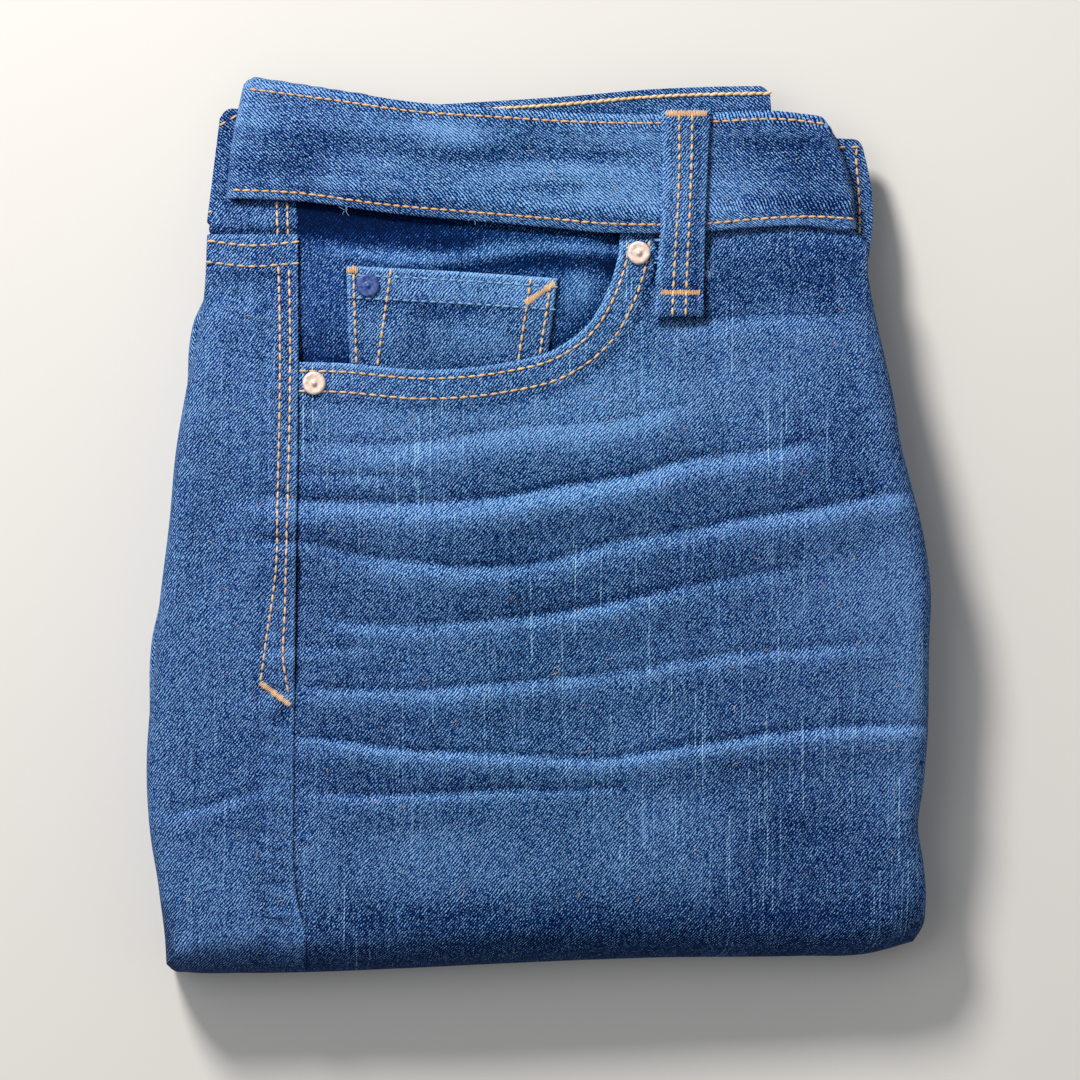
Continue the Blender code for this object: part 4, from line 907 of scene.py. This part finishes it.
def makeCoinPocket():
    topEnds = coinTop[0][0], coinTop[-1][0]
    topX, footX = (np.linspace(*ends, coinPocket["columns"]) for ends in (topEnds, coinFootX))
    top = np.stack([topX, through(topX, coinTop)], axis=1)
    foot = np.stack([footX, through(footX, pocketEdge) - coinPocket["belowEdge"]], axis=1)
    rows = np.array([top + (foot - top) * share for share in coinPocket["shares"]])
    return flatShell("coinPocket", rows, coinSurface)


def makeWaistband():
    up, count = waistband["shares"], waistband["columns"]
    plan = edgePatch(bandBottom, bandTop, count, up)
    share = up[::-1]
    index = np.arange(count)
    endShift = waistband["endBulge"] * np.sin(np.pi * share) - waistband["endSlant"] * (1 - share)
    foldShift = waistband["foldBulge"] * np.sin(np.pi * share)
    plan[..., 0] += endShift[:, None] * ramp(index, count - waistband["endColumns"], count - 1)
    plan[..., 0] -= foldShift[:, None] * (1 - ramp(index, 0, waistband["foldColumns"]))
    centre = plan[:, plan.shape[1] // 2, 0][:, None]
    inner = plan.copy()
    inner[..., 0] = centre + (plan[..., 0] - centre) * (1 - waistband["reach"] / np.abs(plan[:, [0], 0] - centre))
    z, fade = bandSurface(inner[..., 0], inner[..., 1])
    strips = {0: [], -1: []}
    turns = np.radians(np.linspace(waistband["rollFrom"], waistband["rollTo"], waistband["rollSteps"]))
    for turn in turns:
        for column in (0, -1):
            out = inner[:, column] + (plan[:, column] - inner[:, column]) * math.sin(turn)
            drop = waistband["drop"] * (1 - math.cos(turn)) / (1 - math.cos(turns[0]))
            strips[column].append(np.column_stack([out, z[:, column] - drop]))
    left, right = np.stack(strips[0], axis=1), np.stack(strips[-1][::-1], axis=1)
    whole = np.concatenate([left, np.dstack([inner, z]), right], axis=1)
    for column, radius in ((0, waistband["corners"][0]), (-1, waistband["corners"][1])):
        fromEnd = np.abs(whole[..., 0] - whole[:, [column], 0])
        whole[..., 1] -= cornerFall(fromEnd, radius) * share[:, None]
    sides = np.repeat(fade[:, [0]], len(turns), axis=1), np.repeat(fade[:, [-1]], len(turns), axis=1)
    wholeFadeShade = np.concatenate([sides[0] + 0.3, fade, sides[1] + 0.3], axis=1)
    steps = np.linalg.norm(np.diff(whole, axis=1), axis=2)
    run = np.concatenate([np.zeros((len(up), 1)), np.cumsum(steps, axis=1)], axis=1)
    uv = np.stack([-whole[..., 1], run], axis=2).reshape(-1, 2)
    quads = gridFaces(len(up), whole.shape[1])
    return makeShell("waistband", whole.reshape(-1, 3), quads, uv, wholeFadeShade.ravel())


def makeInnerBand():
    foot = [(x, float(through(x, bandBottom)) + innerBand["behind"]) for x in innerBand["stations"]]
    plan = edgePatch(foot, innerBandTop, innerBand["columns"], innerBand["shares"], innerBand["corners"])
    return flatShell("waistbandInner", plan, innerBandSurface, turned=True)


def makeLeftBand():
    shares = leftBand["shares"]
    plan = edgePatch(leftBandFoot, leftBandTop, leftBand["columns"], shares, leftBand["corners"])
    bulge = leftBand["endBulge"] * np.sin(np.pi * shares[::-1])
    plan[..., 0] += bulge[:, None] * ramp(plan[..., 0], 94, 109)
    return flatShell("waistbandLeft", plan, leftBandSurface, turned=True)


def makeBeltLoop():
    left, right = loopEdges(beltLoop["rows"])
    xs = left[:, None] + (right - left)[:, None] * tightShares(beltLoop["columns"], 0.5)
    plan = np.dstack([xs, np.repeat(beltLoop["rows"][:, None], beltLoop["columns"], axis=1)])
    return flatShell("beltLoop", plan, loopSurface)


hiddenLegs = {
    # share of the height, fine scallop in from the outline
    "rings": [(0.0, 4.6), (0.05, 1.8), (0.16, 0.6), (0.27, 1.6), (0.335, 3.8), (0.40, 1.5), (0.50, 0.4), (0.60, 1.4),
              (0.665, 3.8), (0.73, 1.5), (0.84, 0.7), (0.95, 1.6), (1.0, 3.4)],
    # three thick layers, of which the lowest ends near the waist and the others reach it
    "layers": (0.165, 0.5, 0.835), "layerHalf": 0.165, "seams": (0.335, 0.665), "seamIn": 3.8, "layerOut": 3.3,
    "lowerTop": 0.335, "legsEnd": 75.0, "waistEnd": 135.0, "foot": -146.0, "cornerShare": 0.07, "clear": 0.9,
    "ringPoints": 420, "rows": 64, "heart": (0.0, -30.0), "underside": (0.1, 0.3, 0.5, 0.7, 0.85, 0.95),
}


def roundedFrame(count):  # a square from -1 to 1 with rounded corners, walked at an even pace
    share = hiddenLegs["cornerShare"]
    outline = []
    for turn, sideX, sideY in ((0, 1, 1), (1, -1, 1), (2, -1, -1), (3, 1, -1)):
        angles = (turn + np.linspace(0, 1, 9)) * 0.5 * math.pi
        outline.append(np.column_stack([sideX * (1 - share) + share * np.cos(angles),
                                        sideY * (1 - share) + share * np.sin(angles)]))
    outline = np.concatenate(outline + [outline[0][:1]])
    run = np.concatenate([[0], np.cumsum(np.hypot(*np.diff(outline, axis=0).T))])
    wanted = np.linspace(0, run[-1], count, endpoint=False)
    return [np.interp(wanted, run, outline[:, k]) for k in (0, 1)]


def legRing(yEnd, inset, share):
    across, along = roundedFrame(hiddenLegs["ringPoints"])
    y = 0.5 * (hiddenLegs["foot"] + yEnd) + 0.5 * (yEnd - hiddenLegs["foot"]) * along
    right, left = through(y, rightEdge), through(y, hiddenLeft)
    x = 0.5 * (right + left) + 0.5 * (right - left) * across
    y = y + (through(x, bottomEdge) - hiddenLegs["foot"]) * (1 - ramp(y, hiddenLegs["foot"], -60))
    top = topHeight(x, y)
    z = layerLevel(share, top, x, y)
    endShare = depthAt(y)
    fall = foldFall(top, y)
    reach = pileShape["sideReach"] + (pileShape["endReach"] - pileShape["sideReach"]) * endShare
    cosine = 1 - np.clip((top - z) / fall, 0, 1) * (1 - math.cos(pileShape["rollTurn"]))
    rolledIn = reach * (1 - np.sqrt(np.maximum(0.0, 1 - cosine * cosine)))
    covered = (z > top - fall).astype(float)
    inward = np.maximum(inset, (rolledIn + wall["panel"] + hiddenLegs["clear"]) * covered)
    inward = inward + 0.3 * hiddenLegs["clear"] * endShare
    ring = np.stack([x, y], axis=1)
    tangent = np.roll(ring, -1, axis=0) - np.roll(ring, 1, axis=0)
    normal = np.stack([tangent[:, 1], -tangent[:, 0]], axis=1)
    normal /= np.linalg.norm(normal, axis=1)[:, None]
    return np.column_stack([ring - normal * inward[:, None], z])


def layerLevel(share, top, x, y):
    body = share * (top - pileShape["sideDepth"] - 0.8)
    if share <= hiddenLegs["lowerTop"]:
        return body
    slack = ramp(y, hiddenLegs["legsEnd"] - 12, hiddenLegs["legsEnd"] + 24)
    baseShare = (share - hiddenLegs["lowerTop"]) / (1 - hiddenLegs["lowerTop"])
    bandFoot = through(x, leftBandFoot)
    lifted = 5.6 * ramp(y, 62, 74) * (1 - ramp(y, bandFoot - 9, bandFoot - 1))
    waist = 0.8 + baseShare * (top - 12.4 + lifted)
    return body + (waist - body) * slack


def makeFoldedLegs():
    shares, scallops = np.array(hiddenLegs["rings"]).T
    count = hiddenLegs["ringPoints"]
    rings, fadesAndShades = [], []
    for share in np.linspace(0, 1, hiddenLegs["rows"]):
        lower = share <= hiddenLegs["lowerTop"]
        yEnd = hiddenLegs["legsEnd"] - 15.0 * abs(share - 0.2) if lower else hiddenLegs["waistEnd"]
        layer = max(max(0.0, 1 - ((share - c) / hiddenLegs["layerHalf"]) ** 2) for c in hiddenLegs["layers"])
        inset = (hiddenLegs["seamIn"] - hiddenLegs["layerOut"] * math.sqrt(layer)
                 + 0.1 * float(np.interp(share, shares, scallops)))
        rings.append(legRing(yEnd, inset, share))
        # painted shade in the grooves between the layers and painted light on their bulging middles
        dark = sum(float(bump(share - seam, 0.03)) for seam in hiddenLegs["seams"])
        fadesAndShades.append(np.full(count, 0.5 * math.sqrt(layer) - 1.6 * dark))
    outer, heart = rings[0][:, :2], np.array(hiddenLegs["heart"])
    under = [np.column_stack([heart + (outer - heart) * scale, np.zeros(count)]) for scale in hiddenLegs["underside"]]
    rings, fadesAndShades = under + rings, [np.zeros(count)] * len(under) + fadesAndShades
    foot = rings[len(under)]
    steps = np.linalg.norm(np.diff(np.concatenate([foot, foot[:1]]), axis=0), axis=1)
    around = np.concatenate([[0], np.cumsum(steps)[:-1]])
    height = np.cumsum([0] + [float(np.median(np.linalg.norm(b - a, axis=1))) for a, b in zip(rings, rings[1:])])
    uv = np.concatenate([np.stack([around, np.full(count, h)], axis=1) for h in height])
    j = np.arange(count)
    following = (j + 1) % count
    quads = [np.stack([base + j, base + following, base + count + following, base + count + j], axis=1)
             for base in range(0, (len(rings) - 1) * count, count)]
    return makeShell("foldedLegs", np.concatenate(rings), np.concatenate(quads), uv, np.concatenate(fadesAndShades))


cloth = [maker() for maker in (
    makeFrontPanel, makeBackPanel, makeBackYoke, makePocketFacing, makeCoinPocket, makeWaistband, makeInnerBand,
    makeLeftBand, makeBeltLoop, makeFoldedLegs)]
print("cloth pieces made:", len(cloth))

# ---- rivets ----

rivetCap = {
    "radius": 3.9, "height": 1.5, "steps": 48,
    # share of the radius, share of the height: a rolled rim round a hollow with a small pip
    "profile": [(0.0, 1.25), (0.10, 1.22), (0.17, 1.08), (0.22, 0.80), (0.27, 0.64), (0.40, 0.60), (0.56, 0.64),
                (0.70, 0.70), (0.82, 0.72), (0.90, 0.66), (0.96, 0.50), (0.99, 0.28), (1.0, 0.1), (0.97, 0.0)],
    "places": {"rivetSide": (-74.9, 47.7), "rivetWaist": (33.3, 91.3), "rivetCoin": (-57.1, 80.4)},
}
metals = {
    "copper": metalMaterial("copperCap", colour(236, 204, 184), colour(244, 230, 220), 0.35, 0.42),
    "painted": metalMaterial("paintedCap", colour(38, 64, 132), colour(74, 100, 160), 0.0, 0.34),
}


def makeRivet(name, surface, node, metal):
    x0, y0 = rivetCap["places"][name]
    r, h, steps = rivetCap["radius"], rivetCap["height"], rivetCap["steps"]
    turns = np.linspace(0, 2 * math.pi, steps, endpoint=False)
    rim = surface(x0 + r * np.cos(turns), y0 + r * np.sin(turns))[0]
    seat = max(float(rim.max()), float(surface(x0, y0)[0])) + 0.1
    ripple = 1 + 0.012 * np.sin(turns * 3 + 1.0)

    def ring(reach, level):
        return np.column_stack([x0 + reach * np.cos(turns), y0 + reach * np.sin(turns), np.full(steps, level)])

    rings = [ring(r * out * ripple, seat + h * up) for out, up in rivetCap["profile"][1:]] + [ring(r * 0.9, seat - 0.9)]
    points = np.concatenate([[(x0, y0, seat + h * rivetCap["profile"][0][1])], *rings])
    pairs = [(j, (j + 1) % steps) for j in range(steps)]
    faces = [(0, 1 + a, 1 + b) for a, b in pairs]
    for base in range(1, 1 + (len(rings) - 1) * steps, steps):
        faces += [(base + a, base + steps + a, base + steps + b, base + b) for a, b in pairs]
    faces.append(tuple(range(len(rings) * steps, (len(rings) - 1) * steps, -1)))
    mesh = bpy.data.meshes.new(name)
    mesh.from_pydata((points * mm).tolist(), [], faces)
    mesh.update()
    mesh.shade_smooth()
    mesh.materials.append(metals[metal])
    obj = placed(name, mesh)
    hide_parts(node)
    return obj


rivets = [
    makeRivet("rivetSide", frontSurface, "rivet_side", "copper"),
    makeRivet("rivetWaist", frontSurface, "rivet_waist", "copper"),
    makeRivet("rivetCoin", coinSurface, "rivet_coin", "painted"),
]
print("rivets made:", len(rivets))

# ---- stitches, all from one Geometry Nodes tree ----


def buildStitchTree():
    w, given, out = newTree("stitchRow", "Geometry", [
        ("Geometry", "Geometry", None), ("Pitch", "Float", 0.0033), ("Length", "Float", 0.0022),
        ("Thickness", "Float", 0.0008), ("Turn", "Float", 0.0), ("Unevenness", "Float", 0.07), ("Seed", "Int", 1),
        ("Thread", "Material", None)], [("Geometry", "Geometry")])
    points = w.add("GeometryNodeResampleCurve", {"Curve": given["Geometry"], "Length": given["Pitch"]},
                   mode="LENGTH")[0]
    alongRow = w.add("FunctionNodeAlignRotationToVector", {"Vector": w.add("GeometryNodeInputTangent")[0]}, axis="X")[0]
    upright = w.add("FunctionNodeAlignRotationToVector", {"Vector": (0, 0, 1), "Rotation": alongRow}, axis="Z",
                    pivot_axis="X")[0]
    grain = w.add("GeometryNodeMeshUVSphere", {"Segments": 8, "Rings": 7, "Radius": 0.5})["Mesh"]
    sizes = w.add("ShaderNodeCombineXYZ", {0: given["Length"], 1: given["Thickness"], 2: given["Thickness"]})[0]
    low, high = (w.math(operation, 1.0, given["Unevenness"]) for operation in ("SUBTRACT", "ADD"))
    vary = w.add("FunctionNodeRandomValue", {2: low, 3: high, "Seed": given["Seed"]}, data_type="FLOAT")[1]
    scaled = w.add("ShaderNodeVectorMath", {0: sizes, "Scale": vary}, operation="SCALE")[0]
    grains = w.add("GeometryNodeInstanceOnPoints", {"Points": points, "Instance": grain, "Rotation": upright,
                                                    "Scale": scaled})[0]
    sway = w.add("FunctionNodeRandomValue", {2: -0.09, 3: 0.09, "Seed": given["Seed"]}, data_type="FLOAT")[1]
    euler = w.add("ShaderNodeCombineXYZ", {2: w.math("ADD", given["Turn"], sway)})[0]
    turned = w.add("GeometryNodeRotateInstances", {
        "Instances": grains, "Rotation": w.add("FunctionNodeEulerToRotation", {0: euler})[0]})[0]
    smooth = w.add("GeometryNodeSetShadeSmooth", {0: w.add("GeometryNodeRealizeInstances", {0: turned})[0]})[0]
    w.link(w.add("GeometryNodeSetMaterial", {0: smooth, "Material": given["Thread"]})[0], out[0])
    return w.tree


stitchTree = buildStitchTree()
trims = []
threadLift = 0.22


def onCloth(points, surface, lift=threadLift):
    points = np.asarray(points, float)
    return np.column_stack([points, surface(points[:, 0], points[:, 1])[0] + lift])


def makeRows(name, rows, tree, values):  # runs curves through a tree and keeps the plain mesh
    curve = bpy.data.curves.new(name + "Path", "CURVE")
    curve.dimensions = "3D"
    for row in rows:
        spline = curve.splines.new("POLY")
        spline.points.add(len(row) - 1)
        spline.points.foreach_set("co", np.column_stack([np.asarray(row) * mm, np.ones(len(row))]).ravel())
    path = placed(name + "Path", curve)
    modifier = path.modifiers.new("stitches", "NODES")
    modifier.node_group = tree
    for item in tree.interface.items_tree:
        if item.in_out == "INPUT" and item.name in values:
            modifier[item.identifier] = values[item.name]
    path.data.update_tag()
    bpy.context.view_layer.update()
    evaluated = path.evaluated_get(bpy.context.evaluated_depsgraph_get())
    mesh = bpy.data.meshes.new_from_object(evaluated)
    mesh.name = name
    bpy.data.objects.remove(path)
    trims.append(placed(name, mesh))


def sewRows(name, rows, thread, pitch=3.3, length=2.85, thickness=0.88, turn=0.0, seed=1, uneven=0.07):
    makeRows(name, rows, stitchTree, {
        "Pitch": pitch * mm, "Length": length * mm, "Thickness": thickness * mm, "Turn": turn, "Unevenness": uneven,
        "Seed": seed, "Thread": threads[thread]})


def rowAlongY(xAt, yFrom, yTo, surface):
    ys = np.linspace(yFrom, yTo, 160)
    return onCloth(np.stack([xAt(ys), ys], axis=1), surface)


def rowAlongX(yAt, xFrom, xTo, surface, lift=threadLift):
    xs = np.linspace(xFrom, xTo, 160)
    return onCloth(np.stack([xs, yAt(xs)], axis=1), surface, lift)


def offsetPath(points, distance, start=0.0, end=1.0, count=220):  # to the right of the way it runs
    line = evenPath(points, 400)
    line = line[int(start * 399):int(end * 399) + 1]
    run = np.gradient(line, axis=0)
    side = np.stack([run[:, 1], -run[:, 0]], axis=1) / np.linalg.norm(run, axis=1)[:, None]
    return evenPath((line + side * distance)[::6], count)


def innerSeam(y):
    return through(y, outseam) - through(y, [(-57, 1.9), (-45, 3.9), (-28, 3.6), (10, 3.2), (64, 2.8), (108, 3.6)])


def outerSeam(y):
    return through(y, outseam) - seamOuter(y)


sewRows("outseamStitches", [rowAlongY(innerSeam, 84.5, -54, backSurface), rowAlongY(outerSeam, 85.5, -50, backSurface)],
        "peach", seed=2)
sewRows("yokeStitches", [
    rowAlongX(yokeUpper, -109.4, -81.4, backSurface), rowAlongX(yokeLower, -110.2, -81.4, backSurface),
    rowAlongY(innerSeam, 107.2, 98.2, yokeSurface), rowAlongY(outerSeam, 107.6, 98.4, yokeSurface)], "tan", seed=3)
sewRows("pocketStitches", [onCloth(offsetPath(pocketEdge, inward, 0.012, end), frontSurface)
                           for inward, end in ((3.0, 0.965), (9.7, 0.985))], "tan", seed=4)
sewRows("bandStitches", [
    onCloth(evenPath(straightPath(edge, np.linspace(0, 1, 60))[1:-1] + (0, inward), 260), bandSurface)
    for edge, inward in ((bandBottom, 3.0), (bandTop, -3.0))], "orange", pitch=3.2, seed=5)
sewRows("innerBandChain", [
    rowAlongX(lambda x: through(x, innerBandTop) - 2.6, -20, 76.5, innerBandSurface, lift=0.25)], "cream",
    pitch=2.5, length=3.3, thickness=1.25, turn=0.16, seed=6)
coinShare = np.linspace(0, 1, 60)


def coinLine(topX, footX, topY=None, footY=None):
    xs = topX + (footX - topX) * coinShare
    high = float(through(topX, coinTop)) - 0.8 if topY is None else topY
    low = float(through(footX, pocketEdge)) + 1.5 if footY is None else footY
    return onCloth(np.stack([xs, high + (low - high) * coinShare], axis=1), coinSurface)


sewRows("coinSideStitches", [
    coinLine(-61.9, -60.9), coinLine(-49.5, -53.7, 84.6), coinLine(-2.8, -6.7, 81.7, 56.4),
    coinLine(3.7, 0.5, 79.5, 58.6)], "tan", pitch=3.0, length=2.5, thickness=0.95, seed=7)
sewRows("coinHemStitches", [
    rowAlongX(lambda x: through(x, coinTop) - 3.0, -63, 5.4, coinSurface),
    rowAlongX(lambda x: through(x, coinTop) - 10.6, -63, 4.6, coinSurface)], "cyan", pitch=3.0, length=2.2,
    thickness=0.75, seed=8)


def loopRow(share):
    ys = np.linspace(136.6, 71.6, 156)
    left, right = loopEdges(ys)
    return onCloth(np.stack([left + (right - left) * share, ys], axis=1), loopSurface)


sewRows("loopStitches", [loopRow(0.37), loopRow(0.64)], "tan", pitch=3.2, length=2.6, thickness=0.95, seed=9)
tabRows = (
    [(-106.2, 135.2), (-104.4, 136.4), (-102.4, 137.4)], [(-109.8, 105.6), (-108.2, 106.1), (-106.8, 106.6)],
    [(101.5, 127.2), (103.6, 127.4), (106.0, 127.3)],
    [(106.5, 125.6), (106.4, 121.8), (107.0, 115.6), (107.4, 105.3), (107.2, 96)])
sewRows("tabStitches", [onCloth(row, leftBandSurface) for row in tabRows], "tan", seed=10)

bars = {"pitch": 0.54, "length": 2.4, "thickness": 0.58}


def barRow(start, end, surface, lift=0.3):
    share = np.linspace(0, 1, 24)[:, None]
    return onCloth(np.array(start) + (np.array(end) - np.array(start)) * share, surface, lift)


def sewBars(name, rows, thread, seed):
    sewRows(name, rows, thread, bars["pitch"], bars["length"], bars["thickness"], math.radians(82), seed, 0.16)


sewBars("loopBarTop", [barRow((42.6, 138.1), (56.0, 138.1), loopSurface, 0.5)], "peach", 11)
sewBars("loopBarFoot", [barRow((41.0, 77.8), (53.4, 77.8), loopSurface)], "orange", 12)
sewBars("outseamBar", [barRow((-92.5, -52.2), (-83.0, -59.3), backSurface)], "peach", 13)
sewBars("coinBars", [barRow((-4.3, 74.4), (5.0, 81.0), coinSurface),
                     barRow((-64.0, 85.4), (-60.6, 85.4), coinSurface)], "tan", 14)
print("stitch pieces made:", len(trims))

# ---- lint and loose hairs ----

lint = {"hairs": 150, "seed": 21, "radius": 0.075,
        # x, y, half size, hairs: small white tufts
        "tufts": [(56.6, 85.0, 1.5, 16), (-22.6, 103.4, 1.0, 8), (-64.6, 106.0, 1.1, 7), (55.6, 111.0, 0.9, 6)]}


def buildHairTree():
    w, given, out = newTree("hairFibre", "Geometry", [
        ("Geometry", "Geometry", None), ("Radius", "Float", 0.00008), ("Fibre", "Material", None)],
        [("Geometry", "Geometry")])
    profile = w.add("GeometryNodeCurvePrimitiveCircle", {"Resolution": 4, "Radius": given["Radius"]})["Curve"]
    tube = w.add("GeometryNodeCurveToMesh", {"Curve": given["Geometry"], "Profile Curve": profile,
                                             "Fill Caps": True})[0]
    realized = w.add("GeometryNodeRealizeInstances", {0: tube})[0]
    w.link(w.add("GeometryNodeSetMaterial", {0: realized, "Material": given["Fibre"]})[0], out[0])
    return w.tree


hairTree = buildHairTree()


def curledHair(draw, x, y, length, surface, lift):
    heading, bend = draw.uniform(0, 2 * math.pi), draw.normal(0, 1.1)
    steps = np.linspace(0, 1, 6)
    angles = heading + bend * steps
    points = np.array([x, y]) + np.cumsum(np.stack([np.cos(angles), np.sin(angles)], axis=1), axis=0) * length / 6
    return np.column_stack([points, surface(points[:, 0], points[:, 1])[0] + lift + 0.12 * np.sin(steps * math.pi)])


def layHairs(name, rows, thread, radius):
    makeRows(name, rows, hairTree, {"Radius": radius * mm, "Fibre": threads[thread]})


draw = np.random.default_rng(lint["seed"])
paleHairs, tanHairs = [], []
while len(paleHairs) + len(tanHairs) < lint["hairs"]:
    x, y = draw.uniform(-118, 118), draw.uniform(-128, 136)
    if x > through(y, rightEdge) - 8 or x < through(y, leftEdge) + 8 or (x > 90 and y > 85):
        continue
    if y > through(x, bandBottom) - 2:
        if y < through(x, bandBottom) + 3 or y > through(x, bandTop) - 3 or abs(x) > 95:
            continue
        surface = bandSurface
    elif x > through(y, outseam) + 3 and pocketDistance(x, y) < -2:
        surface = frontSurface
    elif x < through(y, outseam) - 2 and y < 84:
        surface = backSurface
    else:
        continue
    hair = curledHair(draw, x, y, draw.uniform(1.2, 3.6), surface, 0.14)
    (tanHairs if draw.random() < 0.5 else paleHairs).append(hair)
for x, y, size, count in lint["tufts"]:
    surface = loopSurface if 41 < x < 55 else frontSurface if y < through(x, bandBottom) - 1 else bandSurface
    for _ in range(count):
        place = (x + draw.normal(0, 0.4 * size), y + draw.normal(0, 0.4 * size))
        paleHairs.append(curledHair(draw, *place, draw.uniform(1.2, 2.4) * size, surface, draw.uniform(0.2, 0.9)))
layHairs("lintPale", paleHairs, "cyan", lint["radius"])
layHairs("lintTan", tanHairs, "peach", 0.85 * lint["radius"])
print("hairs laid:", len(paleHairs) + len(tanHairs))

# ---- attaching the pieces to the root ----

for obj, (*_, width, length, area, rests) in zip(cloth, pieces.values()):
    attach(obj, "root")
for obj in rivets + trims:
    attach(obj, "root")

# ---- floor, light and camera ----


def plainMaterial(name, main, roughness):
    made, shader, w = principled(name)
    shade = tuple(c * 0.97 for c in main[:3]) + (1,)
    w.fill(shader, {"Base Color": w.mix(w.noise(w.objectPlace(), 9.0, 3.0), main, shade), "Roughness": roughness})
    return made


floorMesh = bpy.data.meshes.new("floor")
half = 3.0
floorMesh.from_pydata([(-half, -half, 0), (half, -half, 0), (half, half, 0), (-half, half, 0)], [], [(0, 1, 2, 3)])
floorMesh.materials.append(plainMaterial("floorPale", colour(226, 222, 216), 0.7))
floor = placed("floor", floorMesh)
floor.location.z = -0.0002

studio = {
    "camera": {"lens": 300.0, "centre": (0.33, -4.5), "across": 360.0, "level": 33.0},
    "key": {"place": (-0.62, 1.15, 1.0), "size": 0.4, "power": 30.0},
    "fill": {"place": (-0.9, 0.4, 2.0), "size": 1.4, "power": 8.0},
    "sky": 0.30,
}


def addArea(name, settings, tint):
    data = bpy.data.lights.new(name, "AREA")
    data.shape = "DISK"
    data.size = settings["size"]
    data.energy = settings["power"]
    data.color = tint
    lamp = placed(name, data)
    lamp.location = settings["place"]
    lamp.rotation_mode = "QUATERNION"
    lamp.rotation_quaternion = (Vector((0, 0, 0)) - lamp.location).to_track_quat("-Z", "Y")


addArea("keyLight", studio["key"], (1.0, 0.98, 0.95))
addArea("fillLight", studio["fill"], (0.92, 0.96, 1.0))
world = bpy.data.worlds.new("softSky")
world.use_nodes = True
Wiring(world.node_tree).fill(world.node_tree.nodes["Background"], {
    "Color": (0.93, 0.96, 1.0, 1), "Strength": studio["sky"]})
bpy.context.scene.world = world
bpy.context.scene.view_settings.view_transform = "Standard"

cameraData = bpy.data.cameras.new("camera")
cameraData.lens = studio["camera"]["lens"]
cameraData.sensor_width = 36.0
camera = placed("camera", cameraData)
distance = studio["camera"]["across"] * cameraData.lens / cameraData.sensor_width
camera.location = (studio["camera"]["centre"][0] * mm, studio["camera"]["centre"][1] * mm,
                   (studio["camera"]["level"] + distance) * mm)
cameraData.clip_end = 20.0
bpy.context.scene.camera = camera

bpy.context.view_layer.update()
print("scene ready")
